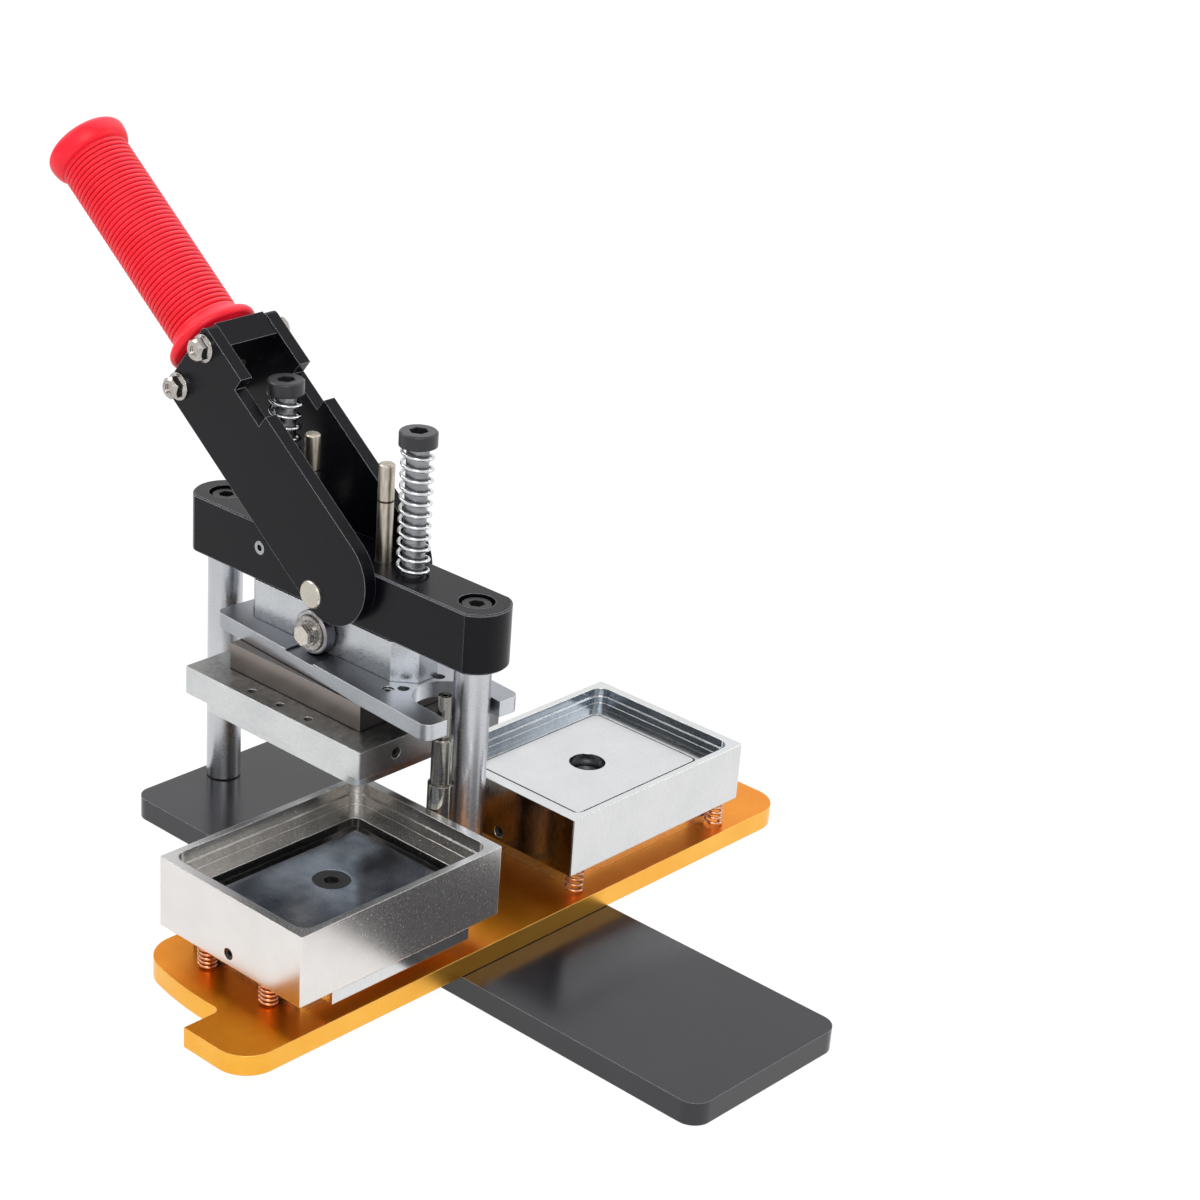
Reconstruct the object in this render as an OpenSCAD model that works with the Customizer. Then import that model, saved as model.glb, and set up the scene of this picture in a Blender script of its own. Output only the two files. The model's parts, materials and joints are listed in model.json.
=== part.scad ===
// Lever press that forms flat fridge magnets: a swinging table carries a pick-up die and a
// crimping die under a ram that an eccentric lever drives down between two columns.
// X runs across the base, Y away from the operator, Z up; the origin lies on the
// underside of the base, midway between the two columns.

/* [Base] */
// Width of the base plate
base_w = 87; // [80:1:120]
// Length of the base plate
base_l = 326; // [322:1:400]
// Thickness of the base plate
base_t = 10; // [8:1:20]
// Corner radius of the base plate
base_r = 8; // [2:1:15]
// Length of base plate behind the axis of the rear column
base_back = 10.7; // [9:0.1:20]

/* [Columns and crossbar] */
// Distance between the axes of the two columns
col_gap = 150; // [148:1:156]
// Diameter of a column
col_d = 15.3; // [14:0.1:16]
// Height of the columns between base and crossbar
col_h = 110; // [108:1:130]
// Width of the crossbar across its flats
bar_w = 26; // [25:0.5:28]
// Height of the crossbar
bar_h = 26; // [24:0.5:34]
// Radius of the crossbar's round ends
bar_end_r = 14.3; // [14:0.1:16]
// Thread diameter of the screws in the columns
col_screw_d = 8; // [6:0.5:9]
// Diameter of a counterbore in the crossbar
cbore_d = 15; // [14:0.1:16]
// Depth of a counterbore in the crossbar
cbore_h = 9; // [8.5:0.5:12]
// Diameter of the cross pin in the crossbar
stop_pin_d = 5.8; // [4:0.1:7]

/* [Lever] */
// Angle of the lever above the horizontal at rest
lever_tilt = 37.25; // [30:0.25:45]
// Height of the pivot above the crossbar's underside
pivot_h = 8.7; // [8:0.1:12]
// Diameter of the pivot pin
pivot_d = 12; // [8:0.5:13]
// Thickness of a lever plate
lever_t = 6; // [5:0.5:8]
// Side gap between a lever plate and the crossbar
lever_gap = 0.2; // [0.1:0.05:0.5]
// Radius of the lever's cam end
cam_r = 20.9; // [19:0.1:22]
// Distance of the cam centre in front of the pivot, square to the lever
cam_off = 15.4; // [13:0.1:16]
// Distance of the cam centre behind the pivot, along the lever
cam_back = 1.4; // [0:0.1:3]
// Distance from the pivot to the plates' upper end
lever_l = 112.8; // [105:0.5:125]
// Distance from the pivot to the middle of the notch
notch_u = 74.5; // [70:0.5:80]
// Length of the notch
notch_l = 19; // [10:0.5:22]
// Depth of the notch
notch_h = 6.5; // [3:0.5:9]
// Length of the handle block between the plates
block_l = 11.6; // [10:0.1:16]
// Distance between the two handle bolts on a plate
bolt_gap = 26; // [24:0.5:28]

/* [Grip] */
// Length of the grip
grip_l = 112; // [100:0.5:130]
// Diameter of the grip's barrel
grip_d = 31.4; // [28:0.1:34]
// How far the knob at the outer end stands out from the barrel
knob_w = 2.5; // [1.5:0.1:5]
// Length of the knob
knob_l = 10; // [8:0.5:16]
// How far the collar at the inner end stands out from the barrel
collar_w = 4.8; // [3:0.1:6]
// Length of the collar with its hollow
collar_l = 6.5; // [5:0.5:12]
// Number of ribs around the barrel
ribs = 42; // [20:1:45]
// Depth of the grooves between ribs
rib_h = 0.8; // [0.4:0.1:1.2]
// Diameter of the rod inside the grip
rod_d = 12; // [8:0.5:16]

/* [Ram] */
// Length of the ram block
ram_l = 100.4; // [96:0.5:110]
// Height of the ram block
ram_h = 17.4; // [17:0.1:22]
// Vertical gap between ram block and crossbar
ram_gap = 0.2; // [0.1:0.05:0.5]
// Corner cut of the ram block along X
ram_cut_x = 7.5; // [3:0.5:9]
// Corner cut of the ram block along Y
ram_cut_y = 9; // [3:0.5:11]
// Diameter of a roller
roller_d = 19; // [18:0.5:20]
// Bore of a roller
roller_bore = 6; // [5:0.5:7]
// Distance of each spring bolt from the ram's centre
sbolt_y = 38.8; // [37:0.1:41]
// Shank diameter of a spring bolt
sbolt_d = 9.4; // [8:0.1:10.5]
// Diameter of a spring bolt's head
sbolt_head_d = 15.8; // [15:0.1:17]
// Height of a spring bolt's head
sbolt_head_h = 6; // [5:0.1:10]
// Height of the return springs
spring_h = 54.7; // [45:0.1:60]
// Outer diameter of the return springs
spring_d = 14; // [13.8:0.1:17]
// Wire diameter of the return springs
spring_wire = 1.5; // [1:0.1:1.7]
// Number of coils in a return spring
spring_coils = 11; // [8:1:13]
// Distance of each guide rod from the ram's centre
rod_y = 21.9; // [21:0.1:23]
// Diameter of a guide rod
guide_d = 6.8; // [5:0.1:7]
// Height of a guide rod above the crossbar
guide_h = 42; // [30:0.5:48]

/* [Ram tooling] */
// Thickness of the fork plate
fork_t = 7; // [5:0.5:10]
// Depth of the pockets that clear the rollers
relief_h = 1; // [0.6:0.1:2]
// Width of the fork plate
fork_w = 50.2; // [48:0.5:56]
// Length of the fork plate in front of the ram's centre
fork_front = 82.5; // [80:0.5:88]
// Length of the fork plate behind the ram's centre
fork_back = 55.7; // [54:0.5:57]
// Width of the fork's slot
slot_w = 28.2; // [27:0.2:29]
// Distance from the ram's centre to the centre of the slot's round end
slot_y = 66; // [64:0.5:68]
// Turn of the fork plate about the ram's axis
fork_yaw = -4.2; // [-4.5:0.1:-3.5]
// Width of the core block
core_w = 55.6; // [48:0.5:60]
// Length of the core block
core_l = 79.6; // [70:0.5:84]
// Height of the core block
core_h = 12; // [10:0.5:16]
// Height of the upper die's plate
upper_t = 12.5; // [10:0.5:15]
// Depth of the upper die's rim
rim_h = 6.8; // [4:0.1:8]
// Width of the upper die's rim
rim_w = 7.5; // [5:0.5:8]

/* [Table] */
// Length of the table beyond each die
table_over = 30.75; // [28:0.25:36]
// Width of the swinging table
table_w = 87.5; // [87:0.5:92]
// Thickness of the table
table_t = 8.7; // [6:0.1:12]
// Gap between base and table
table_gap = 0.3; // [0.1:0.1:0.6]
// Corner radius of the table
table_r = 14; // [8:0.5:20]
// Fillet in the corner behind a stop finger
finger_r = 3.5; // [1:0.5:6]
// Radius of the table's rear corners
rear_r = 17; // [8:0.5:24]
// Gap between the table's arcs and the rear column
arc_gap = 0.85; // [0.4:0.05:1.2]
// Width of the stop finger at each end of the table
finger_w = 33.7; // [25:0.1:34]
// Diameter of the bush on which the table turns
bush_d = 22; // [20:0.5:26]
// Distance from the front column to the locating post
post_x = 15.4; // [14.5:0.1:15.5]
// Diameter of the post's sleeve
sleeve_d = 10.8; // [9.5:0.1:11.5]
// Height of the post's sleeve
sleeve_h = 51.5; // [40:0.5:60]
// Diameter of the post
post_d = 9; // [7:0.1:9.4]
// Height of the post
post_h = 72; // [61:0.5:72]
// Diameter of the hollow pin in the post
hollow_d = 5.6; // [4:0.1:6]
// Height of the hollow pin
hollow_h = 90.5; // [75:0.5:95]

/* [Dies] */
// Distance from the front column's axis to each die
die_inset = 21.25; // [20:0.25:30]
// Length of a die
die_l = 107.5; // [100:0.5:108]
// Width of a die
die_w = 81.5; // [76:0.5:82]
// Wall of a die's cavity at its ends
wall_x = 4; // [3:0.5:5]
// Wall of a die's cavity at its sides
wall_y = 3; // [2:0.5:5]
// Inner corner radius of a die's cavity
cavity_r = 6; // [3:0.5:10]
// Width of the fine step in a cavity's wall
wall_step = 0.8; // [0.4:0.1:1.2]
// Space between the table and the pick-up die's frame
lift_a = 10.5; // [9:0.1:13]
// Height of the pick-up die's frame
frame_a_h = 30.5; // [28:0.5:31]
// Depth of the pick-up die's cavity
cavity_a_h = 9.8; // [7:0.1:12]
// Height of the step between the pick-up die's pad and ledge
pad_a_drop = 2.8; // [1:0.1:4]
// Distance from the pick-up die's ends to its pad
pad_a_end = 18.25; // [16:0.25:22]
// Distance from the pick-up die's sides to its pad
pad_a_side = 17.5; // [16:0.25:20]
// Space between the table and the crimping die's frame
lift_b = 11.6; // [10:0.1:13]
// Height of the crimping die's frame
frame_b_h = 26; // [24:0.5:27]
// Depth of the crimping die's cavity
cavity_b_h = 6.8; // [5:0.1:8]
// Distance from the crimping die's ends to its pad
pad_b_end = 16.1; // [14:0.1:20]
// Distance from the crimping die's sides to its pad
pad_b_side = 11.95; // [11:0.05:14]
// Gap around the crimping die's pad
pad_b_gap = 0.7; // [0.3:0.1:1]
// Thickness of the ledge inside a die
ledge_t = 4; // [3:0.5:5]
// Thickness of a die's walls below its ledge
skirt_t = 8.75; // [8:0.25:10]
// Length of the bars under the pick-up die's long sides
apron_l = 74; // [60:1:90]
// Height of the bars under the pick-up die's long sides
apron_h = 5.4; // [3:0.1:8]
// Gap between a die's frame and the block that guides it
guide_gap = 0.3; // [0.2:0.05:0.6]
// Distances from the pick-up die's edges to its springs' axes
spring_a_in = [4.9, 22.8];
// Distances from the crimping die's edges to its springs' axes
spring_b_in = [8.6, 4.7];
// Outer diameter of a die spring
dspring_d = 8; // [6:0.2:8.2]
// Wire diameter of a die spring
dspring_wire = 1.1; // [0.8:0.1:1.2]
// Number of coils in a pick-up die's spring
coils_a = 5; // [3:1:5]
// Number of coils in a crimping die's spring
coils_b = 4; // [3:1:5]
// Diameter of a pad screw's head
pad_screw_d = 15.4; // [12:0.2:17]
// Diameter of the hole in the crimping die's pad
pad_hole_d = 15.6; // [12:0.2:17]
// Diameter of a set screw
set_d = 5; // [4:0.5:6]

/* [Hidden] */

// Overrun of every cut past the face that it opens
over = 1;
// Gap between a fastener and its hole
fit = 0.05;
// Width of the fine edge breaks
edge = 0.6;
// Share of a socket screw's thread that its socket takes across
hex_share = 0.75;
// Where the sides of a groove lie along a rib's length
rib_shares = [0, 0.14, 0.3, 0.44];
// The knob's rounded rim against its length
rim_share = 0.3;
// Facets of the larger and the smaller curves
big_fn = 96;
small_fn = 48;

col_y = col_gap / 2;
bar_z = base_t + col_h;
bar_top = bar_z + bar_h;
pivot_z = bar_z + pivot_h;
base_y1 = col_y + base_back;

// The cam's centre in the lever's own frame, and after the tilt
cam_y = -cam_back * cos(lever_tilt) - cam_off * sin(lever_tilt);
cam_z = -cam_back * sin(lever_tilt) + cam_off * cos(lever_tilt);
roller_gap = 0.05;
roller_reach = cam_r + roller_d / 2 + roller_gap;
roller_z = pivot_z + cam_z - sqrt(roller_reach * roller_reach - cam_y * cam_y);
plate_x = bar_w / 2 + lever_gap;
roller_x = plate_x;
bolt_d = 6;
block_gap = 0.1;
washer_t = 1.2;
die_screw_d = 8;
pad_screw_h = pad_screw_d / 4;
plate_low = cam_off - cam_r;
plate_high = cam_off + cam_r;

ram_w = bar_w - lever_gap;
ram_top = bar_z - ram_gap;
ram_z = ram_top - ram_h;
fork_z = ram_z - fork_t;
core_z = fork_z - core_h;
upper_z = core_z - upper_t;
rim_z = upper_z - rim_h;

die_x = die_inset + die_l / 2;
table_l = 2 * (die_inset + die_l + table_over);
table_arc_r = col_gap - col_d / 2 - arc_gap;
table_z = base_t + table_gap;
table_top = table_z + table_t;
frame_a_z = table_top + lift_a;
frame_a_top = frame_a_z + frame_a_h;
ledge_a_top = frame_a_top - cavity_a_h;
pad_a_top = ledge_a_top - pad_a_drop;
frame_b_z = table_top + lift_b;
frame_b_top = frame_b_z + frame_b_h;
ledge_b_top = frame_b_top - cavity_b_h;
pad_a_l = die_l - 2 * pad_a_end;
pad_a_w = die_w - 2 * pad_a_side;
pad_b_l = die_l - 2 * pad_b_end;
pad_b_w = die_w - 2 * pad_b_side;
low_l = die_l - 2 * skirt_t;
low_w = die_w - 2 * skirt_t;
block_die_l = low_l - 2 * guide_gap;
block_die_w = low_w - 2 * guide_gap;
block_a_h = ledge_a_top - ledge_t - lift_a - table_top;
block_b_h = ledge_b_top - ledge_t - lift_b - table_top;
aperture_a_l = pad_a_l + 7 * edge * 2;
aperture_a_w = pad_a_w + 8 * edge * 2;

// Places of the upper die's three small holes, as shares of its half width and half length
pilot_shares = [0.87, 0.32];
// Places of the fork plate's holes, as shares of its half width and front length
fork_hole_shares = [0.38, 0.61];
fork_screw_shares = [-0.6, -0.57];
// Height of the cross pin, as a share of the crossbar's height
cross_share = 0.58;
// Height of the fine step in a cavity's wall, as a share of the cavity's depth
step_share = 0.45;
// Height of the set screw's hole in a die's end, as a share of the frame's height
set_share = 0.16;

// A rectangle with true round corners, made without a hull
module soft_rect(l, w, r) {
    square([l - 2 * r, w], center = true);
    square([l, w - 2 * r], center = true);
    for (x = [-l / 2 + r, l / 2 - r], y = [-w / 2 + r, w / 2 - r]) {
        translate([x, y]) circle(r = r, $fn = small_fn);
    }
}

module at_columns() {
    for (s = [-1, 1]) translate([0, s * col_y, 0]) children();
}

// A cap screw's head with its hexagon socket, standing on z = 0 with the shank below
module socket_screw(d, head_d, head_h, shank_l) {
    difference() {
        union() {
            rotate_extrude($fn = small_fn) polygon([
                [0, 0], [head_d / 2, 0], [head_d / 2, head_h - edge], [head_d / 2 - edge, head_h], [0, head_h]]);
            translate([0, 0, -shank_l]) cylinder(d = d, h = shank_l + over / 2, $fn = small_fn);
        }
        translate([0, 0, head_h - d * hex_share * hex_share]) {
            cylinder(d = d * hex_share / cos(30), h = head_h, $fn = 6);
        }
    }
}

// A hexagon flange bolt, flange on z = 0 with the shank below
module flange_bolt(d, shank_l) {
    flange_d = 2 * d;
    translate([0, 0, -shank_l]) cylinder(d = d, h = shank_l + d / 8, $fn = small_fn);
    rotate_extrude($fn = small_fn) polygon([
        [0, 0], [flange_d / 2, 0], [flange_d / 2, d / 6], [d * hex_share, d / 3], [0, d / 3]]);
    difference() {
        intersection() {
            cylinder(d = d * 3 / 2 / cos(30), h = d, $fn = 6);
            rotate_extrude($fn = small_fn) polygon([
                [0, 0], [d * 7 / 8, 0], [d * 7 / 8, d * 3 / 4], [d * 5 / 8, d], [0, d]]);
        }
        translate([0, 0, d * 5 / 6]) cylinder(d = d * hex_share, h = d, $fn = small_fn);
    }
}

// One ring of a wire's skin at a point p, spanned by the directions n and b
function wire_ring(p, n, b, r, sides) = [for (i = [0:sides - 1])
    p + n * r * cos(360 * i / sides) + b * r * sin(360 * i / sides)];

function unit(v) = v / norm(v);

// Points along a coil's centre line: a short square stub, the helix, and another stub
function coil_points(r, wire, h, coils, rings) =
    let (rise = h - 2 * wire)
    concat([[r, 0, 0]],
        [for (i = [0:coils * rings]) let (a = 360 * i / rings, t = i / (coils * rings))
            [r * cos(a), r * sin(a), wire + rise * t]],
        [[r, 0, h]]);

// Least distance between two stretches of the coil that are half a turn or more apart, less the wire
function coil_gap(pts, wire, rings) = min([for (i = [0:len(pts) - 1], j = [0:len(pts) - 1])
    if (j > i + rings / 2) norm(pts[i] - pts[j])]) - wire;

module coil_spring(d, wire, h, coils) {
    rings = 8;
    sides = 6;
    r = (d - wire) / 2;
    pts = coil_points(r, wire, h, coils, rings);
    last = len(pts) - 1;
    function way(i) = unit(pts[min(i + 1, last)] - pts[max(i - 1, 0)]);
    function out(i) = unit([pts[i][0], pts[i][1], 0]);
    function stretch(i) = i == 1 || i == last - 1 ? sqrt(2) : 1;
    skin = [for (i = [0:last]) for (p = wire_ring(pts[i], out(i), cross(way(i), out(i)) * stretch(i),
        wire / 2, sides)) p];
    sides_f = [for (i = [0:last - 1], j = [0:sides - 1], k = [0, 1]) let (
        a = i * sides + j, b = i * sides + (j + 1) % sides, c = b + sides, e = a + sides)
        k == 0 ? [a, b, c] : [a, c, e]];
    ends = [for (j = [1:sides - 2], k = [0, 1]) let (m = last * sides)
        k == 0 ? [0, j + 1, j] : [m, m + j, m + j + 1]];
    echo("least gap in a spring", coil_gap(pts, wire, rings));
    polyhedron(points = skin, faces = concat(sides_f, ends), convexity = 10);
}

// Puts a shape drawn in the lever's own frame in place: u along the lever, n to its front, x across
module on_lever() {
    translate([0, 0, pivot_z]) rotate([lever_tilt, 0, 0]) children();
}

module base_plate() {
    head_d = 2 * col_screw_d;
    color("#1c1c1e") difference() {
        translate([0, base_y1 - base_l / 2, 0]) linear_extrude(base_t) soft_rect(base_w, base_l, base_r);
        at_columns() {
            translate([0, 0, -over]) cylinder(d = col_screw_d + 2 * fit, h = base_t + 2 * over,
                $fn = small_fn);
            translate([0, 0, -edge]) cylinder(d1 = head_d + 2 * edge, d2 = col_screw_d, h = head_d / 2 - edge,
                $fn = small_fn);
        }
    }
}

module column() {
    hole_l = 2 * col_screw_d;
    translate([0, 0, base_t]) difference() {
        rotate_extrude($fn = big_fn) polygon([[0, 0], [col_d / 2 - edge, 0], [col_d / 2, edge],
            [col_d / 2, col_h - edge], [col_d / 2 - edge, col_h], [0, col_h]]);
        for (z = [-over, col_h - hole_l]) translate([0, 0, z]) {
            cylinder(d = col_screw_d + 2 * fit, h = hole_l + over, $fn = small_fn);
        }
    }
}

module rear_column() {
    color("#b9bcc0") translate([0, col_y, 0]) column();
}

module front_column() {
    color("#b9bcc0") translate([0, -col_y, 0]) column();
}

module column_screws() {
    head_d = cbore_d - 2;
    color("#1a1a1c") at_columns() translate([0, 0, bar_top - cbore_h]) {
        socket_screw(col_screw_d, head_d, col_screw_d, bar_h - cbore_h + col_screw_d * 3 / 2);
    }
}

module base_screws() {
    head_d = 2 * col_screw_d - edge;
    color("#1a1a1c") at_columns() difference() {
        rotate_extrude($fn = small_fn) polygon([[0, edge / 2], [head_d / 2, edge / 2],
            [col_screw_d / 2, (head_d - col_screw_d) / 2 + edge / 2],
            [col_screw_d / 2, base_t + col_screw_d * 3 / 2], [0, base_t + col_screw_d * 3 / 2]]);
        cylinder(d = col_screw_d * hex_share / cos(30), h = col_screw_d / 2, $fn = 6);
    }
}

module bar_outline() {
    intersection() {
        square([bar_w, col_gap + 4 * bar_end_r], center = true);
        union() {
            square([bar_w, col_gap], center = true);
            for (s = [-1, 1]) translate([0, s * col_y]) circle(r = bar_end_r, $fn = big_fn);
        }
    }
}

module crossbar() {
    color("#17171a") difference() {
        translate([0, 0, bar_z]) union() {
            translate([0, 0, edge]) linear_extrude(bar_h - 2 * edge) bar_outline();
            linear_extrude(bar_h) intersection() {
                square([bar_w - 2 * edge, col_gap + 4 * bar_end_r], center = true);
                union() {
                    square([bar_w, col_gap], center = true);
                    for (s = [-1, 1]) translate([0, s * col_y]) circle(r = bar_end_r - edge, $fn = big_fn);
                }
            }
        }
        at_columns() {
            translate([0, 0, bar_z - over]) {
                cylinder(d = col_screw_d + 2 * fit, h = bar_h + 2 * over, $fn = small_fn);
            }
            translate([0, 0, bar_top - cbore_h]) cylinder(d = cbore_d, h = cbore_h + over, $fn = small_fn);
        }
        for (s = [-1, 1]) {
            translate([0, s * sbolt_y, bar_z - over]) {
                cylinder(d = sbolt_d + 2 * fit, h = bar_h + 2 * over, $fn = small_fn);
            }
            translate([0, s * rod_y, bar_z - over]) {
                cylinder(d = guide_d + 2 * fit, h = bar_h + 2 * over, $fn = small_fn);
            }
        }
        translate([-bar_w, 0, pivot_z]) rotate([0, 90, 0])
            cylinder(d = pivot_d + 2 * fit, h = 2 * bar_w, $fn = small_fn);
        translate([-bar_w / 2 - over, sbolt_y, bar_z + bar_h * cross_share]) rotate([0, 90, 0]) {
            cylinder(d = stop_pin_d, h = stop_pin_d + over, $fn = small_fn);
        }
    }
}

module cross_pin() {
    proud = lever_gap;
    color("#c8cacc") translate([-bar_w / 2 - proud, sbolt_y, bar_z + bar_h * cross_share])
        rotate([0, 90, 0]) difference() {
        cylinder(d = stop_pin_d, h = stop_pin_d + proud, $fn = small_fn);
        translate([0, 0, -over]) cylinder(d = stop_pin_d / 2, h = stop_pin_d, $fn = small_fn);
    }
}

module pivot_pin() {
    half = plate_x + lever_t + 2 * edge;
    color("#c8cacc") translate([-half, 0, pivot_z]) rotate([0, 90, 0]) rotate_extrude($fn = small_fn)
        polygon([
            [0, 0], [pivot_d / 2 - edge, 0], [pivot_d / 2, edge], [pivot_d / 2, 2 * half - edge],
            [pivot_d / 2 - edge, 2 * half], [0, 2 * half]]);
}

// Outline of a lever plate: a straight bar that ends in the round cam, with a notch in its upper edge
module lever_outline() {
    r = edge * 5;
    difference() {
        union() {
            translate([-cam_back, cam_off]) circle(r = cam_r, $fn = big_fn);
            translate([-cam_back, plate_low]) square([lever_l + cam_back - r, 2 * cam_r]);
            translate([lever_l - 2 * r, plate_low + r]) square([2 * r, 2 * cam_r - 2 * r]);
            for (n = [plate_low + r, plate_high - r]) translate([lever_l - r, n])
                circle(r = r, $fn = small_fn);
        }
        translate([notch_u - notch_l / 2, plate_high - notch_h]) square([notch_l, notch_h + over]);
        circle(d = pivot_d + 4 * fit, $fn = small_fn);
    }
}

module lever_plate(side) {
    color("#17171a") on_lever() rotate([90, 0, 90])
        translate([0, 0, side > 0 ? plate_x : -plate_x - lever_t]) {
        difference() {
            linear_extrude(lever_t) lever_outline();
            bolt_places() translate([0, 0, -over])
                cylinder(d = bolt_d + 2 * fit, h = lever_t + 2 * over, $fn = small_fn);
        }
    }
}

// Puts its children at the two handle bolts of a plate, in the plate's own plane
module bolt_places() {
    for (s = [-1, 1]) translate([lever_l - block_l / 2, cam_off + s * bolt_gap / 2, 0]) children();
}

module left_lever_plate() {
    lever_plate(-1);
}

module right_lever_plate() {
    lever_plate(1);
}

module handle_block() {
    half = plate_x - block_gap;
    color("#17171a") on_lever() difference() {
        translate([-half, lever_l - block_l, plate_low + edge])
            cube([2 * half, block_l, 2 * cam_r - 2 * edge]);
        rotate([90, 0, 90]) bolt_places() for (x = [-half - over, half - 2 * bolt_d]) translate([0, 0, x]) {
            cylinder(d = bolt_d + 2 * fit, h = 2 * bolt_d + over, $fn = small_fn);
        }
        translate([0, lever_l - block_l - over, cam_off]) rotate([-90, 0, 0]) {
            cylinder(d = rod_d, h = block_l + 2 * over, $fn = small_fn);
        }
    }
}

module handle_bolts() {
    color("#c8cacc") on_lever() for (s = [-1, 1]) mirror([s < 0 ? 1 : 0, 0, 0]) rotate([90, 0, 90]) {
        bolt_places() translate([0, 0, plate_x + lever_t]) flange_bolt(bolt_d, lever_t + 3 / 2 * bolt_d);
    }
}

module handle_rod() {
    color("#b9bcc0") on_lever() translate([0, lever_l - block_l, cam_off]) rotate([-90, 0, 0]) {
        cylinder(d = rod_d, h = block_l + grip_l - knob_l, $fn = small_fn);
    }
}

// Half outline of the grip: a thin rounded collar, a hollow, the ribs and a knob with a rounded rim
function grip_outline() =
    let (r = grip_d / 2, lip = collar_l / 5, rim = knob_l * rim_share)
    let (barrel_l = grip_l - collar_l - knob_l, pitch = barrel_l / ribs)
    concat([[rod_d / 2, 0]],
        [for (a = [0:30:180]) [r + collar_w - lip + lip * sin(a), lip - lip * cos(a)]],
        [for (a = [15:15:75]) [r + (collar_w - lip) * (1 - sin(a)),
            2 * lip + (collar_l - 2 * lip) * (1 - cos(a))]],
        [for (i = [0:ribs - 1], k = [0:3])
            [r - (k == 1 || k == 2 ? rib_h : 0), collar_l + pitch * (i + rib_shares[k])]],
        [for (a = [0:15:75]) [r + knob_w * sin(a), grip_l - knob_l + (knob_l - rim) * (1 - cos(a))]],
        [for (a = [0:15:90]) [r + knob_w - rim * (1 - cos(a)), grip_l - rim + rim * sin(a)]],
        [[0, grip_l], [0, grip_l - knob_l + edge], [rod_d / 2, grip_l - knob_l + edge]]);

module grip() {
    color("#e30613") on_lever() translate([0, lever_l + fit, cam_off]) rotate([-90, 0, 0]) {
        rotate_extrude($fn = 64) polygon(grip_outline());
    }
}

module ram_block() {
    w = ram_w / 2;
    l = ram_l / 2;
    color("#bfc2c5") difference() {
        translate([0, 0, ram_z]) linear_extrude(ram_h) polygon([
            [w, l - ram_cut_y], [w - ram_cut_x, l], [-w + ram_cut_x, l], [-w, l - ram_cut_y],
            [-w, -l + ram_cut_y], [-w + ram_cut_x, -l], [w - ram_cut_x, -l], [w, -l + ram_cut_y]]);
        for (s = [-1, 1]) {
            translate([0, s * sbolt_y, ram_z - over]) {
                cylinder(d = sbolt_d, h = ram_h + 2 * over, $fn = small_fn);
            }
            translate([0, s * rod_y, ram_z - over])
                cylinder(d = guide_d, h = ram_h + 2 * over, $fn = small_fn);
        }
        translate([-ram_w, 0, roller_z]) rotate([0, 90, 0])
            cylinder(d = roller_bore, h = 2 * ram_w, $fn = small_fn);
    }
}

module fork_plate() {
    relief_l = roller_d - edge;
    color("#b4b7ba") difference() {
        fork_body();
        for (s = [-1, 1]) translate([s * (ram_w / 2 + fork_w / 4), 0, ram_z - relief_h]) {
            linear_extrude(relief_h + over) soft_rect(fork_w / 2, relief_l, edge);
        }
    }
}

module fork_body() {
    r = edge * 7;
    len_y = fork_front + fork_back;
    rotate([0, 0, fork_yaw]) translate([0, 0, fork_z]) difference() {
        linear_extrude(fork_t) difference() {
            translate([0, (fork_back - fork_front) / 2]) soft_rect(fork_w, len_y, r);
            translate([0, -slot_y]) circle(d = slot_w, $fn = big_fn);
            translate([-slot_w / 2, -fork_front - over]) square([slot_w, fork_front - slot_y + over]);
        }
        for (s = [-1, 1]) {
            translate([s * fork_w / 2 * fork_hole_shares[0], -fork_front * fork_hole_shares[1], -over]) {
                cylinder(d = set_d, h = fork_t + 2 * over, $fn = small_fn);
            }
        }
        translate([fork_w / 2 * fork_screw_shares[0], fork_front * fork_screw_shares[1], -over]) {
            cylinder(d = set_d, h = fork_t + 2 * over, $fn = small_fn);
        }
    }
}

module fork_screw() {
    color("#d8dadc") rotate([0, 0, fork_yaw]) {
        at = [fork_w / 2 * fork_screw_shares[0], fork_front * fork_screw_shares[1], fork_z];
        translate(at) difference() {
            cylinder(d = set_d, h = fork_t - edge, $fn = small_fn);
            translate([0, 0, fork_t / 2]) cylinder(d = set_d * hex_share * hex_share, h = fork_t, $fn = 6);
        }
    }
}

module core_block() {
    color("#8b7d72") translate([-core_w / 2, -core_l / 2, core_z]) cube([core_w, core_l, core_h]);
}

module upper_die() {
    rim_l = die_l - 2 * (wall_x + wall_step + pad_b_gap);
    rim_wide = die_w - 2 * (wall_y + wall_step + pad_b_gap);
    color("#b4b7ba") rotate([0, 0, 90]) difference() {
        union() {
            translate([0, 0, upper_z]) linear_extrude(upper_t) soft_rect(die_l, die_w, edge);
            translate([0, 0, rim_z]) linear_extrude(rim_h + over) soft_rect(rim_l, rim_wide, cavity_r);
        }
        translate([0, 0, rim_z - over]) linear_extrude(rim_h + over) {
            soft_rect(rim_l - 2 * rim_w, rim_wide - 2 * rim_w, cavity_r / 2);
        }
        for (i = [-1:1]) {
            translate([i * die_l / 2 * pilot_shares[1], die_w / 2 * pilot_shares[0], upper_z + upper_t / 2]) {
                cylinder(d = set_d * hex_share, h = upper_t, $fn = small_fn);
            }
        }
        translate([-die_l / 2 - over, die_w / 4, upper_z + upper_t / 2]) rotate([0, 90, 0]) {
            cylinder(d = set_d, h = 2 * set_d + over, $fn = small_fn);
        }
    }
}

module upper_die_screw() {
    color("#2a2a2c") rotate([0, 0, 90]) translate([-die_l / 2 + edge, die_w / 4, upper_z + upper_t / 2]) {
        rotate([0, 90, 0]) set_screw(set_d, set_d * 3 / 2);
    }
}

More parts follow.
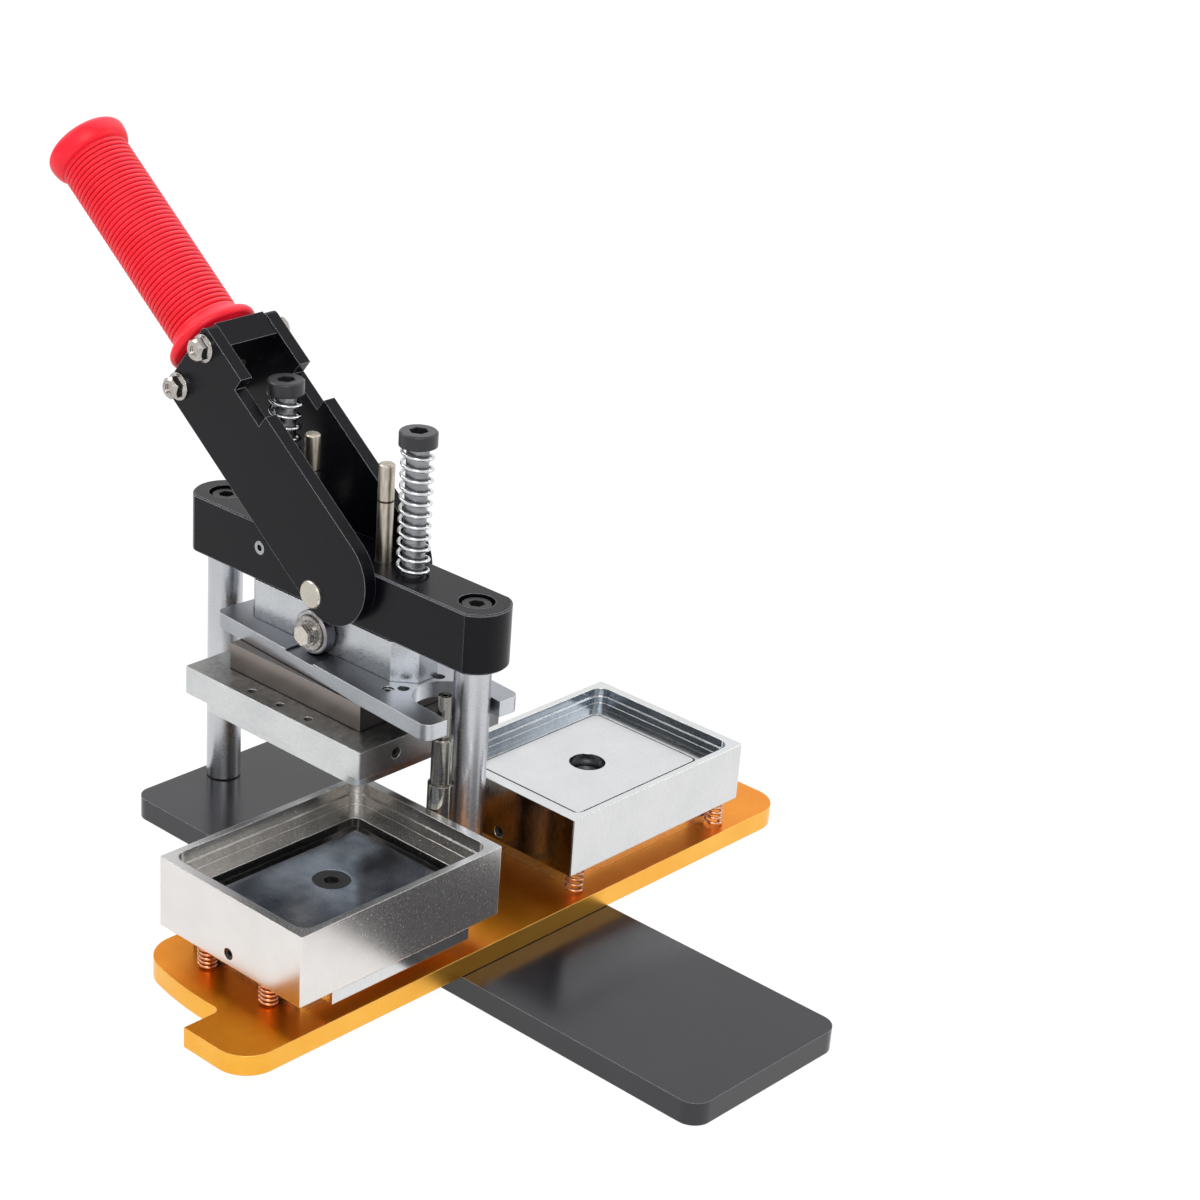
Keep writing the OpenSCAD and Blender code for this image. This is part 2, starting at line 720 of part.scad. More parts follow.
// A headless screw whose socket faces down, its face on z = 0
module set_screw(d, l) {
    difference() {
        cylinder(d = d, h = l, $fn = small_fn);
        translate([0, 0, -over]) cylinder(d = d * hex_share * hex_share, h = l / 2 + over, $fn = 6);
    }
}

module spring_bolts() {
    color("#3a3a3c") for (s = [-1, 1]) translate([0, s * sbolt_y, bar_top + spring_h]) {
        socket_screw(sbolt_d, sbolt_head_d, sbolt_head_h, spring_h + bar_h + ram_gap + ram_h);
    }
}

module guide_rods() {
    groove_z = guide_h * 0.62;
    r = guide_d / 2;
    low = -bar_h - ram_gap - ram_h;
    color("#b9bcc0") for (s = [-1, 1]) translate([0, s * rod_y, bar_top]) rotate_extrude($fn = small_fn)
        polygon([
            [0, low], [r, low], [r, groove_z], [r - edge / 2, groove_z], [r - edge / 2, groove_z + edge],
            [r, groove_z + edge], [r, guide_h - edge], [r - edge, guide_h], [0, guide_h]]);
}

module roller_bolts() {
    color("#c8cacc") for (s = [-1, 1]) mirror([s < 0 ? 1 : 0, 0, 0]) {
        translate([roller_x + lever_t + 2 * fit, 0, roller_z]) rotate([0, 90, 0]) union() {
            rotate_extrude($fn = small_fn) polygon([[0, 0], [roller_d * 0.4, 0], [roller_d * 0.4, washer_t],
                [roller_bore * 0.9, washer_t], [roller_bore * 0.9, 2 * washer_t], [0, 2 * washer_t]]);
            translate([0, 0, washer_t]) cylinder(d = roller_bore * 4 / 3 / cos(30),
                h = roller_bore * 2 / 3, $fn = 6);
            translate([0, 0, -lever_t - 2 * fit - roller_bore]) {
                cylinder(d = roller_bore - 2 * fit, h = lever_t + 2 * fit + roller_bore + over / 2,
                    $fn = small_fn);
            }
        }
    }
}

module roller(side) {
    r = roller_d / 2;
    b = roller_bore / 2;
    color("#d0d2d4") mirror([side < 0 ? 1 : 0, 0, 0]) translate([roller_x, 0, roller_z]) rotate([0, 90, 0]) {
        rotate_extrude($fn = big_fn) polygon([
            [b, 0], [r - edge, 0], [r, edge], [r, lever_t - edge], [r - edge, lever_t], [r * 0.82, lever_t],
            [r * 0.8, lever_t - edge], [b * 1.6, lever_t - edge], [b * 1.5, lever_t], [b, lever_t]]);
    }
}

module left_roller() {
    roller(-1);
}

module right_roller() {
    roller(1);
}

module return_springs() {
    color("#c8cacc") for (s = [-1, 1]) translate([0, s * sbolt_y, bar_top]) {
        coil_spring(spring_d, spring_wire, spring_h, spring_coils);
    }
}

// The table's outline about its pivot: a strip with a stop finger at each end, and arcs behind them
module table_outline() {
    low = -table_w / 2;
    difference() {
        soft_rect(table_l, table_w, table_r);
        difference() {
            translate([-table_l, low + finger_w]) square([2 * table_l, table_w]);
            circle(r = table_arc_r, $fn = 2 * big_fn);
            for (m = [0, 1]) mirror([m, 0]) finger_fillet(low + finger_w);
        }
        for (m = [0, 1]) mirror([m, 0]) rear_corner();
    }
}

// The round corner between a finger's back edge, at height y, and the arc behind it.
// Both curves are drawn a hair too wide, so that they cross what they meet at a clear angle.
module finger_fillet(y) {
    far = table_arc_r + finger_r;
    c = [sqrt(far * far - (y + finger_r) * (y + finger_r)), y + finger_r];
    difference() {
        polygon([[c[0] - finger_r, y - over], [c[0], y - over], c, c * (table_arc_r - over) / far]);
        translate(c) circle(r = finger_r + fit, $fn = small_fn);
    }
}

// What is cut off where an arc meets the table's rear edge
module rear_corner() {
    near = table_arc_r - rear_r;
    y = table_w / 2 - rear_r;
    c = [sqrt(near * near - y * y), y];
    difference() {
        polygon([c, [c[0], table_w / 2 + over], [table_arc_r + over, table_w / 2 + over],
            c * (table_arc_r + over) / near]);
        translate(c) circle(r = rear_r + fit, $fn = big_fn);
    }
}

module table() {
    color("#e39a24") translate([0, -col_y, table_z]) difference() {
        linear_extrude(table_t) table_outline();
        translate([0, 0, -over]) cylinder(d = bush_d, h = table_t + 2 * over, $fn = small_fn);
        translate([-post_x, 0, -over]) cylinder(d = post_d - edge, h = table_t + 2 * over, $fn = small_fn);
        for (s = [-1, 1]) translate([s * die_x, 0, -over]) {
            cylinder(d = die_screw_d + 2 * fit, h = table_t + 2 * over, $fn = small_fn);
        }
    }
}

module table_bush() {
    color("#a9772f") translate([0, -col_y, table_z]) difference() {
        cylinder(d = bush_d, h = table_t, $fn = small_fn);
        translate([0, 0, -over]) cylinder(d = col_d + 4 * fit, h = table_t + 2 * over, $fn = big_fn);
        translate([-post_x, 0, -over]) cylinder(d = post_d - edge, h = table_t + 2 * over, $fn = small_fn);
    }
}

module locating_post() {
    foot_d = post_d - edge;
    color("#8f9194") translate([-post_x, -col_y, table_z]) difference() {
        rotate_extrude($fn = small_fn) polygon([
            [0, 0], [foot_d / 2, 0], [foot_d / 2, table_t], [post_d / 2, table_t],
            [post_d / 2, table_t + post_h - edge], [foot_d / 2, table_t + post_h], [0, table_t + post_h]]);
        translate([0, 0, table_t + post_h - 3 * hollow_d]) cylinder(d = hollow_d, h = post_h, $fn = small_fn);
    }
}

module post_sleeve() {
    color("#b9bcc0") translate([-post_x, -col_y, table_top]) difference() {
        cylinder(d = sleeve_d, h = sleeve_h, $fn = small_fn);
        translate([0, 0, -over]) cylinder(d = post_d + fit, h = sleeve_h + 2 * over, $fn = small_fn);
    }
}

module hollow_pin() {
    low = post_h - 3 * hollow_d;
    color("#5a5b5e") translate([-post_x, -col_y, table_top]) difference() {
        translate([0, 0, low]) cylinder(d = hollow_d, h = hollow_h - low, $fn = small_fn);
        translate([0, 0, low - over]) cylinder(d = hollow_d / 2, h = hollow_h - low + 2 * over,
            $fn = small_fn);
    }
}

module at_die(side) {
    translate([side * die_x, -col_y, 0]) children();
}

// The block that stands on the table and guides a die's frame
module die_block(h) {
    translate([0, 0, table_top]) difference() {
        linear_extrude(h) soft_rect(block_die_l, block_die_w, edge);
        translate([0, 0, -over]) cylinder(d = die_screw_d + 2 * fit, h = h + 2 * over, $fn = small_fn);
    }
}

// A die's frame: cavity above, ledge with an aperture, and a guide pocket below
module die_frame(z, h, cavity_h, open_l, open_w) {
    ledge_top = h - cavity_h;
    translate([0, 0, z]) difference() {
        linear_extrude(h) soft_rect(die_l, die_w, edge);
        for (k = [0, 1]) translate([0, 0, ledge_top + cavity_h * step_share * (1 - k)]) {
            linear_extrude(cavity_h + over) {
                soft_rect(die_l - 2 * (wall_x + wall_step * k), die_w - 2 * (wall_y + wall_step * k),
                    cavity_r - wall_step * k);
            }
        }
        translate([0, 0, -over]) linear_extrude(ledge_top - ledge_t + over) soft_rect(low_l, low_w, edge);
        translate([0, 0, -over]) linear_extrude(h) soft_rect(open_l, open_w, cavity_r / 2);
        side_hole(h);
    }
}

module side_hole(h) {
    translate([-die_l / 2 - over, 0, h * set_share]) rotate([0, 90, 0]) {
        cylinder(d = set_d, h = skirt_t + 2 * over, $fn = small_fn);
    }
}

module springs_under(inset, h, coils) {
    for (x = [-1, 1], y = [-1, 1]) {
        translate([x * (die_l / 2 - inset[0]), y * (die_w / 2 - inset[1]), table_top]) {
            coil_spring(dspring_d, dspring_wire, h, coils);
        }
    }
}

module die_a_block() {
    color("#7d8084") at_die(-1) die_block(block_a_h);
}

module die_a_pad() {
    pad_z = table_top + block_a_h;
    color("#9a9da1") at_die(-1) difference() {
        translate([0, 0, pad_z]) linear_extrude(pad_a_top - pad_z) soft_rect(pad_a_l, pad_a_w, edge);
        translate([0, 0, pad_z - over]) cylinder(d = die_screw_d + 2 * fit, h = pad_a_top, $fn = small_fn);
        translate([0, 0, pad_a_top - pad_screw_h - edge / 2]) {
            cylinder(d1 = die_screw_d + 4 * fit, d2 = pad_screw_d, h = pad_screw_h - edge / 2,
                $fn = small_fn);
        }
        translate([0, 0, pad_a_top - edge]) cylinder(d = pad_screw_d, h = edge + over, $fn = small_fn);
    }
}

module die_a_screw() {
    head_h = pad_screw_h;
    low = -(pad_a_top - table_z - edge) + head_h;
    color("#1a1a1c") at_die(-1) translate([0, 0, pad_a_top - head_h - edge / 2]) difference() {
        rotate_extrude($fn = small_fn) polygon([[0, low], [die_screw_d / 2, low], [die_screw_d / 2, 0],
            [pad_screw_d / 2 - edge / 2, head_h - edge / 2], [pad_screw_d / 2 - edge / 2, head_h], [0, head_h]]);
        translate([0, 0, head_h / 4]) cylinder(d = die_screw_d * hex_share / cos(30), h = head_h, $fn = 6);
    }
}

module die_a_frame() {
    color("#c4c7ca") at_die(-1) die_frame(frame_a_z, frame_a_h, cavity_a_h, aperture_a_l, aperture_a_w);
}

module die_a_aprons() {
    color("#c4c7ca") at_die(-1) for (s = [-1, 1]) translate([-apron_l / 2, 0, frame_a_z - apron_h]) {
        translate([0, s > 0 ? low_w / 2 : -die_w / 2, 0]) cube([apron_l, skirt_t, apron_h]);
    }
}

module die_set_screw(z, h) {
    translate([-die_l / 2 + edge, 0, z + h * set_share]) rotate([0, 90, 0]) {
        set_screw(set_d, skirt_t - 2 * edge);
    }
}

module die_a_set_screw() {
    color("#1a1a1c") at_die(-1) die_set_screw(frame_a_z, frame_a_h);
}

module die_a_springs() {
    color("#c98a5a") at_die(-1) springs_under(spring_a_in, lift_a, coils_a);
}

module die_b_block() {
    color("#7d8084") at_die(1) die_block(block_b_h);
}

module die_b_pad() {
    pad_z = table_top + block_b_h;
    color("#b4b7ba") at_die(1) translate([0, 0, pad_z]) difference() {
        linear_extrude(ledge_b_top - pad_z) soft_rect(pad_b_l, pad_b_w, cavity_r / 2 - pad_b_gap);
        translate([0, 0, -over]) cylinder(d = die_screw_d + 2 * fit, h = ledge_b_top, $fn = small_fn);
        translate([0, 0, ledge_t]) cylinder(d = pad_hole_d, h = ledge_b_top, $fn = small_fn);
    }
}

module die_b_screw() {
    pad_z = table_top + block_b_h + ledge_t;
    color("#1a1a1c") at_die(1) translate([0, 0, pad_z]) {
        socket_screw(die_screw_d, pad_hole_d - 2, die_screw_d * 0.8, pad_z - table_z - edge);
    }
}

module die_b_frame() {
    open_l = pad_b_l + 2 * pad_b_gap;
    open_w = pad_b_w + 2 * pad_b_gap;
    color("#c4c7ca") at_die(1) die_frame(frame_b_z, frame_b_h, cavity_b_h, open_l, open_w);
}

module die_b_set_screws() {
    color("#1a1a1c") at_die(1) die_set_screw(frame_b_z, frame_b_h);
}

module die_b_springs() {
    color("#c98a5a") at_die(1) springs_under(spring_b_in, lift_b, coils_b);
}

base_plate();
rear_column();
front_column();
column_screws();
base_screws();
crossbar();
cross_pin();
pivot_pin();
left_lever_plate();
right_lever_plate();
handle_block();
handle_bolts();
handle_rod();
grip();
ram_block();
fork_plate();
fork_screw();
core_block();
upper_die();
upper_die_screw();
spring_bolts();
guide_rods();
roller_bolts();
left_roller();
right_roller();
return_springs();
table();
table_bush();
locating_post();
post_sleeve();
hollow_pin();
die_a_block();
die_a_pad();
die_a_frame();
die_a_aprons();
die_a_springs();
die_a_screw();
die_a_set_screw();
die_b_block();
die_b_pad();
die_b_frame();
die_b_springs();
die_b_screw();
die_b_set_screws();
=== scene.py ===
# %% [markdown]
# # A lever press for flat fridge magnets
# This lesson dresses a small hand press. The CAD model gives every rigid piece in its true size,
# in metres, so the script adds only what a drawing leaves out: the wound springs, the moulded grip,
# the finishes, and a studio with a floor, lamps and a camera.

# %% Load the frame
import json
import math

import bmesh
import bpy
from mathutils import Matrix, Vector


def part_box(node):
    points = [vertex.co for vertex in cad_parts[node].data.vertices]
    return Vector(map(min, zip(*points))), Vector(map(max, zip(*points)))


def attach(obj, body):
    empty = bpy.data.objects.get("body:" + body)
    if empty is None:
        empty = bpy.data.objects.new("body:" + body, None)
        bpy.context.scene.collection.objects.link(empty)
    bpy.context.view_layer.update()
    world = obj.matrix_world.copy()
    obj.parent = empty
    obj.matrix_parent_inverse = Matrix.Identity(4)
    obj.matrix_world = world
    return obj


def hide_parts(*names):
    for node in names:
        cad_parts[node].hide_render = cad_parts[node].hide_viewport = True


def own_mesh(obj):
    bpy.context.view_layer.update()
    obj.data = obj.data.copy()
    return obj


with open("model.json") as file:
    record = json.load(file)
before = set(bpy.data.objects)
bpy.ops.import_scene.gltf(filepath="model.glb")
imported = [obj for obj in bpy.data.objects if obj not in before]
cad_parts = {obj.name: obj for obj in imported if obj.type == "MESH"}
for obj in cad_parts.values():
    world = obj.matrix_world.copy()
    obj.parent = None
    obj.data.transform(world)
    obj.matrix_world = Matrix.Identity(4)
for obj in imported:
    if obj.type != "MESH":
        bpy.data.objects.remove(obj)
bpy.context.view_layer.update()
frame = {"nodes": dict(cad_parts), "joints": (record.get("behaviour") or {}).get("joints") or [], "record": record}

MM = 0.001
nodes = frame["nodes"]
joints = {joint["name"]: joint for joint in frame["joints"]}

# %% [markdown]
# ## The camera
# The press was photographed from its front left corner, a little above the table, with a long
# lens. The picture was cropped off centre, so the lens is shifted instead of the camera turned.
# All numbers come from fitting edges of known length to the picture.

# %% Place the camera
TARGET = Vector((-0.000833, -0.037835, 0.061849))
AZIMUTH, ELEVATION, ROLL = (math.radians(a) for a in (-45.57, 27.038, 2.50))
DISTANCE = 1.134521
FOCAL_PX, CENTRE_X, CENTRE_Y, FRAME_PX = 2719.886, 401.343, 758.433, 1200
SENSOR = 36.0

level = Vector((math.sin(AZIMUTH), -math.cos(AZIMUTH), 0))
toward = level * math.cos(ELEVATION) + Vector((0, 0, math.sin(ELEVATION)))
right = Vector((0, 0, 1)).cross(toward).normalized()
up = toward.cross(right)
rolled_right = math.cos(ROLL) * right + math.sin(ROLL) * up
rolled_up = -math.sin(ROLL) * right + math.cos(ROLL) * up

camera_data = bpy.data.cameras.new("press_camera")
camera_data.sensor_width = SENSOR
camera_data.lens = FOCAL_PX / FRAME_PX * SENSOR
camera_data.shift_x = (FRAME_PX / 2 - CENTRE_X) / FRAME_PX
camera_data.shift_y = (CENTRE_Y - FRAME_PX / 2) / FRAME_PX
camera_data.clip_start = 0.05
camera_data.clip_end = 50
camera = bpy.data.objects.new("press_camera", camera_data)
turn = Matrix((rolled_right, rolled_up, toward)).transposed().to_4x4()
camera.matrix_world = Matrix.Translation(TARGET + DISTANCE * toward) @ turn
bpy.context.scene.collection.objects.link(camera)
bpy.context.scene.camera = camera
print("lens", round(camera_data.lens, 1), "mm at", round(DISTANCE, 3), "m")

# %% [markdown]
# ## Helpers for materials
# A material is a small network of nodes. One function adds any node with its values and its links,
# so that each finish below reads like a short recipe. Colours are written as sRGB hex codes, as a
# paint program shows them, and one function turns them into the linear light that shaders want.


# %% Colours and nodes
def linear(hex_code):
    """An sRGB hex colour as linear red, green, blue and alpha."""
    parts = [int(hex_code[i:i + 2], 16) / 255 for i in (1, 3, 5)]
    return (*[c / 12.92 if c <= 0.04045 else ((c + 0.055) / 1.055) ** 2.4 for c in parts], 1.0)


def add(tree, kind, values=None, links=None, **settings):
    """A new node in tree with its settings, its input values and its incoming links."""
    node = tree.nodes.new(kind)
    for name, value in settings.items():
        setattr(node, name, value)
    for name, value in (values or {}).items():
        node.inputs[name].default_value = value
    for name, source in (links or {}).items():
        tree.links.new(source, node.inputs[name])
    return node


print("mid grey in linear light:", [round(c, 3) for c in linear("#808080")[:3]])


# %% Empty materials
def empty_tree(owner):
    """The node tree of a material or a world, with nothing in it."""
    owner.use_nodes = True
    owner.node_tree.nodes.clear()
    return owner.node_tree


def new_material(name):
    """A material with coordinates and a surface shader, as (material, tree, coordinates, shader)."""
    material = bpy.data.materials.new(name)
    tree = empty_tree(material)
    coords = add(tree, "ShaderNodeTexCoord").outputs
    shader = add(tree, "ShaderNodeBsdfPrincipled")
    add(tree, "ShaderNodeOutputMaterial", links={"Surface": shader.outputs["BSDF"]})
    return material, tree, coords, shader


print("materials before the first finish:", len(bpy.data.materials))

# %% [markdown]
# ## Clouds, grain and bumps
# No metal has one flat colour: rolling, grinding and handling leave clouds and grain. They could
# come from a picture, but a noise needs none, has no seams, and takes its size in millimetres.
# Sharp corners don't exist either, so a bevel node rounds the light on every edge.


# %% Patterns
def pattern(tree, coords, size_mm, detail=3.0, rough=0.55, stretch=(1, 1, 1)):
    """A noise whose spots are size_mm across; a stretch below 1 draws them out along that axis."""
    where = add(tree, "ShaderNodeMapping", {"Scale": stretch}, {"Vector": coords["Object"]})
    values = {"Scale": 1 / (size_mm * MM), "Detail": detail, "Roughness": rough}
    return add(tree, "ShaderNodeTexNoise", values, {"Vector": where.outputs["Vector"]}).outputs["Fac"]


def shades(tree, factor, dark, light, low=0.3, high=0.7):
    """The colours from dark, where factor is low, to light, where it is high."""
    ramp = add(tree, "ShaderNodeValToRGB", links={"Fac": factor})
    for stop, position, colour in zip(ramp.color_ramp.elements, (low, high), (dark, light)):
        stop.position = position
        stop.color = linear(colour)
    return ramp.outputs["Color"]


def roughen(tree, shader, factor, smoothest, roughest):
    """Roughness between two values, by a noise that mostly lies between 0.25 and 0.75."""
    values = {"From Min": 0.25, "From Max": 0.75, "To Min": smoothest, "To Max": roughest}
    node = add(tree, "ShaderNodeMapRange", values, {"Value": factor})
    tree.links.new(node.outputs["Result"], shader.inputs["Roughness"])


def relief(tree, shader, height, depth_mm, edge_mm=0.4):
    """Bumps of depth_mm on faces whose edges look rounded by edge_mm."""
    edge = add(tree, "ShaderNodeBevel", {"Radius": edge_mm * MM}, samples=4)
    bump = add(tree, "ShaderNodeBump", {"Distance": depth_mm * MM, "Strength": 1.0},
               {"Height": height, "Normal": edge.outputs["Normal"]})
    tree.links.new(bump.outputs["Normal"], shader.inputs["Normal"])


print("patterns are set in mm; one Blender unit is", 1 / MM, "mm")

# %% [markdown]
# ## Masks
# A mask is a number from 0 to 1 that says where a second colour goes. An edge is where a rounded
# normal leaves the true one, and a joint between two pieces is where little of the sky is seen.
# Which way a face looks is read in the piece's own axes, so a mask stays put when the table swings.

# %% Edges and joints
# Cosines of the angle between the rounded and the true normal where an edge starts and where it is full
EDGE_STARTS, EDGE_FULL = 0.99, 0.85


def edges(tree, width_mm):
    """1 along the edges of a piece and 0 on its faces."""
    soft = add(tree, "ShaderNodeBevel", {"Radius": width_mm * MM}, samples=4).outputs["Normal"]
    true = add(tree, "ShaderNodeNewGeometry").outputs["Normal"]
    same = add(tree, "ShaderNodeVectorMath", links={0: soft, 1: true}, operation="DOT_PRODUCT")
    return add(tree, "ShaderNodeMapRange", {"From Min": EDGE_STARTS, "From Max": EDGE_FULL},
               {"Value": same.outputs["Value"]}).outputs["Result"]


def open_to_air(tree, reach_mm, dark, clear):
    """0 where a share of up to dark of the sky within reach_mm is open, and 1 from clear on."""
    share = add(tree, "ShaderNodeAmbientOcclusion", {"Distance": reach_mm * MM}, samples=8)
    return add(tree, "ShaderNodeMapRange", {"From Min": dark, "From Max": clear},
               {"Value": share.outputs["AO"]}).outputs["Result"]


print("an edge starts at", round(math.degrees(math.acos(EDGE_STARTS))), "degrees of rounding")

# %% Directions and cavities
# Cosines of the angle to a direction from which a face starts to look that way, and does so fully
FACING_STARTS, FACING_FULL = 0.5, 0.95
INWARD = 0.1 * MM
UP, FRONT, LEFT, RIGHT = (0, 0, 1), (0, -1, 0), (-1, 0, 0), (1, 0, 0)


def looking(tree, coords, direction):
    """1 on the faces that look along direction, and 0 on the rest."""
    facing = add(tree, "ShaderNodeVectorMath", {1: direction}, {0: coords["Normal"]}, operation="DOT_PRODUCT")
    return add(tree, "ShaderNodeMapRange", {"From Min": FACING_STARTS, "From Max": FACING_FULL},
               {"Value": facing.outputs["Value"]}).outputs["Result"]


def inside(tree, coords, node):
    """1 on the walls of a node's cavity, which face its middle line, and 0 on its outer walls."""
    low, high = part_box(node)
    outward = add(tree, "ShaderNodeVectorMath", {1: (low + high) / 2}, {0: coords["Object"]},
                  operation="SUBTRACT").outputs[0]
    flat = add(tree, "ShaderNodeVectorMath", {1: (1, 1, 0)}, {0: outward}, operation="MULTIPLY").outputs[0]
    facing = add(tree, "ShaderNodeVectorMath", links={0: flat, 1: coords["Normal"]},
                 operation="DOT_PRODUCT").outputs["Value"]
    return add(tree, "ShaderNodeMath", {1: -INWARD}, {0: facing}, operation="LESS_THAN").outputs[0]


print("the press faces", FRONT, "and its lever rises towards the back")


# %% Paint
def painted(tree, under, mask, over):
    """The colour under where mask is 0 and over where it is 1; each is a hex code or a socket."""
    node = add(tree, "ShaderNodeMix", links={0: mask}, data_type="RGBA")
    # The Mix node has sockets for every kind of data: 6, 7 and 2 are its two colours and their mix
    for socket, colour in ((node.inputs[6], under), (node.inputs[7], over)):
        if isinstance(colour, str):
            socket.default_value = linear(colour)
        else:
            tree.links.new(colour, socket)
    return node.outputs[2]


print("paint goes on in layers, each with a mask of its own")

# %% [markdown]
# ## Metal
# Nearly all of the press is metal, and what tells one piece from another is how its surface was
# made: ground, brushed, blasted, plated or anodised. One function could be written for each, but
# they differ only in colour, grain and gloss, so one recipe with these as inputs serves them all.

# %% A recipe for metal
# How far painted shade spreads from a joint, and the shares of open sky where it is full and where it ends
SEAM_MM, SEAM_DARK, SEAM_CLEAR = 1.1, 0.5, 0.85
CLOUDS_LOW, CLOUDS_HIGH = 0.35, 0.65
COAT_ROUGHNESS = 0.18


def metal(name, dark, light, rough, grain_mm, stretch=(1, 1, 1), depth_mm=0.004, cloud_mm=25,
          edge_mm=0.4, metallic=1.0, gloss=0.5, coat=0.0, sides=(), edge_highlight=None, crevice_shade=None):
    """Bare, plated or anodised metal with clouds of dark and light, a grain and eased edges.

    rough is its lowest and highest roughness. Each row of sides is a mask, what the mask is asked
    for, and two shades. The edge colour is a painted highlight along the edges, and the joint colour
    is painted shade along the lines where another piece begins."""
    material, tree, coords, shader = new_material(name)
    clouds = pattern(tree, coords, cloud_mm, 4)
    grain = pattern(tree, coords, grain_mm, 2, 0.6, stretch)
    both = add(tree, "ShaderNodeMath", links={0: clouds, 1: grain}, operation="ADD").outputs[0]
    half = add(tree, "ShaderNodeMath", {1: 0.5}, {0: both}, operation="MULTIPLY").outputs[0]
    colour = shades(tree, half, dark, light, CLOUDS_LOW, CLOUDS_HIGH)
    for mask, wanted, side_dark, side_light in sides:
        side = shades(tree, half, side_dark, side_light, CLOUDS_LOW, CLOUDS_HIGH)
        colour = painted(tree, colour, mask(tree, coords, wanted), side)
    # The edge colour is a painted highlight along the edges
    if edge_highlight:
        colour = painted(tree, colour, edges(tree, edge_mm), edge_highlight)
    # The joint colour is painted shade where little sky is open, next to another piece
    if crevice_shade:
        colour = painted(tree, crevice_shade, open_to_air(tree, SEAM_MM, SEAM_DARK, SEAM_CLEAR), colour)
    tree.links.new(colour, shader.inputs["Base Color"])
    roughen(tree, shader, grain, *rough)
    shader.inputs["Metallic"].default_value = metallic
    shader.inputs["Specular IOR Level"].default_value = gloss
    shader.inputs["Coat Weight"].default_value = coat
    shader.inputs["Coat Roughness"].default_value = COAT_ROUGHNESS
    relief(tree, shader, grain, depth_mm, edge_mm)
    return material


print("joints between pieces darken within", SEAM_MM, "mm")

# %% [markdown]
# ## Black pieces
# Three kinds of black sit side by side: anodised aluminium, lacquered plate and oxided screws.
# A black oxide or dye layer hides the metal, so none of them is metallic. They differ in gloss,
# and the painted highlight along their edges is what makes thin black plates readable.

# %% Black finishes
finishes = {
    # Hard black anodising on aluminium: a satin, almost neutral black, with a painted highlight along its sharp
    # edges
    "black_anodised": metal(
        "black_anodised_aluminium", "#07070c", "#0b0b12", (0.26, 0.32), 0.5,
        metallic=0.0, depth_mm=0.0008, edge_highlight="#b4b6bc", gloss=0.18),
    # Black lacquered steel plate: a clear gloss that mirrors what stands on it, and a painted highlight on its
    # edges
    "black_base": metal(
        "black_lacquered_plate", "#19191e", "#222228", (0.16, 0.24), 0.8,
        metallic=0.0, depth_mm=0.0006, edge_mm=0.6, edge_highlight="#85868a", gloss=0.56),
    # Black oxide on screws: duller, because oil sits in its pores, with a faint painted highlight on its edges
    "black_steel": metal(
        "black_oxide_steel", "#161617", "#232325", (0.3, 0.45), 0.4,
        metallic=0.0, edge_highlight="#4a4a4c", gloss=0.4),
}
print("black finishes:", sorted(finishes))

# %% [markdown]
# ## Steel
# A grinding wheel leaves fine parallel lines, and a turned bar has rings round its axis. Both are
# the same noise, drawn out along one axis for lines and along two for rings. Plating fills such
# marks, so plated steel is evener.

# %% Steel finishes
# Centreless ground bar: fine rings round the axis, finer than the eye can count
finishes["polished_steel"] = metal(
    "ground_bar_steel", "#b7b9bd", "#cacbcf", (0.26, 0.32), 0.2,
    stretch=(0.1, 0.1, 1), depth_mm=0.0003)
# Surface ground block: bright, with lines along Y, and a painted highlight on its edges
finishes["ground_steel"] = metal(
    "surface_ground_steel", "#b4b7ba", "#c9cbce", (0.24, 0.36), 0.5,
    stretch=(1, 0.2, 1), depth_mm=0.002, edge_highlight="#e4e5e6")
# Bare steel with a warm tint; its front is painted darker, as painted shade, and so are the lines where other
# pieces meet it
finishes["core_steel"] = metal(
    "warm_ground_steel", "#8a817c", "#928a86", (0.28, 0.34), 0.2,
    stretch=(1, 0.06, 1), depth_mm=0.0004, cloud_mm=60,
    sides=[(looking, FRONT, "#4a4646", "#565252")], crevice_shade="#1c1a19")
# Zinc plated screw and pin: frosted and a little blue, with a painted highlight on its edges and painted shade
# where other pieces meet it
finishes["zinc"] = metal(
    "zinc_plated_steel", "#9a9da0", "#a8abaf", (0.3, 0.36), 0.9,
    depth_mm=0.0004, edge_highlight="#dcdee0", crevice_shade="#26272a")
# Bright nickel plate on the bars under the pick-up die, with a painted highlight on its edges
finishes["die_steel"] = metal(
    "nickel_plated_steel", "#d2d3d4", "#dcdcdc", (0.12, 0.18), 0.7,
    stretch=(1, 1, 0.3), depth_mm=0.0004, edge_highlight="#f0f0f0")
print("finishes with steel:", len(finishes))

# %% [markdown]
# ## Coloured metal
# The swinging table is aluminium, anodised and dyed orange gold. Its blasted top is painted a
# darker, deeper orange than its sides, as painted shade and reflection, and its edges carry a pale
# painted highlight. A thin coat stands for the clear oxide over the dye. The bush is bronze, and
# the die springs have a copper wash.

# %% Gold, bronze and spring wire
# The top is painted darker, as painted shade and reflection, and the edges paler, as a painted highlight
finishes["gold_anodised"] = metal(
    "gold_anodised_aluminium", "#f2a832", "#fbc154", (0.28, 0.38), 0.45,
    depth_mm=0.003, sides=[(looking, UP, "#e9860c", "#f89f1e")], edge_highlight="#ffd27a", coat=0.12)
# The bush is turned from cast bronze, and mostly hidden in the table
finishes["bronze"] = metal("bronze_bush", "#9c6d2c", "#b98540", (0.25, 0.4), 0.5)
# Spring wire is drawn through a hard die, so it is smooth and bright: copper washed in the dies
finishes["copper_spring"] = metal("copper_washed_wire", "#b98468", "#e6b596", (0.12, 0.25), 0.4)
# and zinc plated over the ram
finishes["spring_steel"] = metal("plated_spring_wire", "#c4c6c8", "#e2e3e4", (0.12, 0.26), 0.4)
print("finishes by slot:", sorted(finishes))
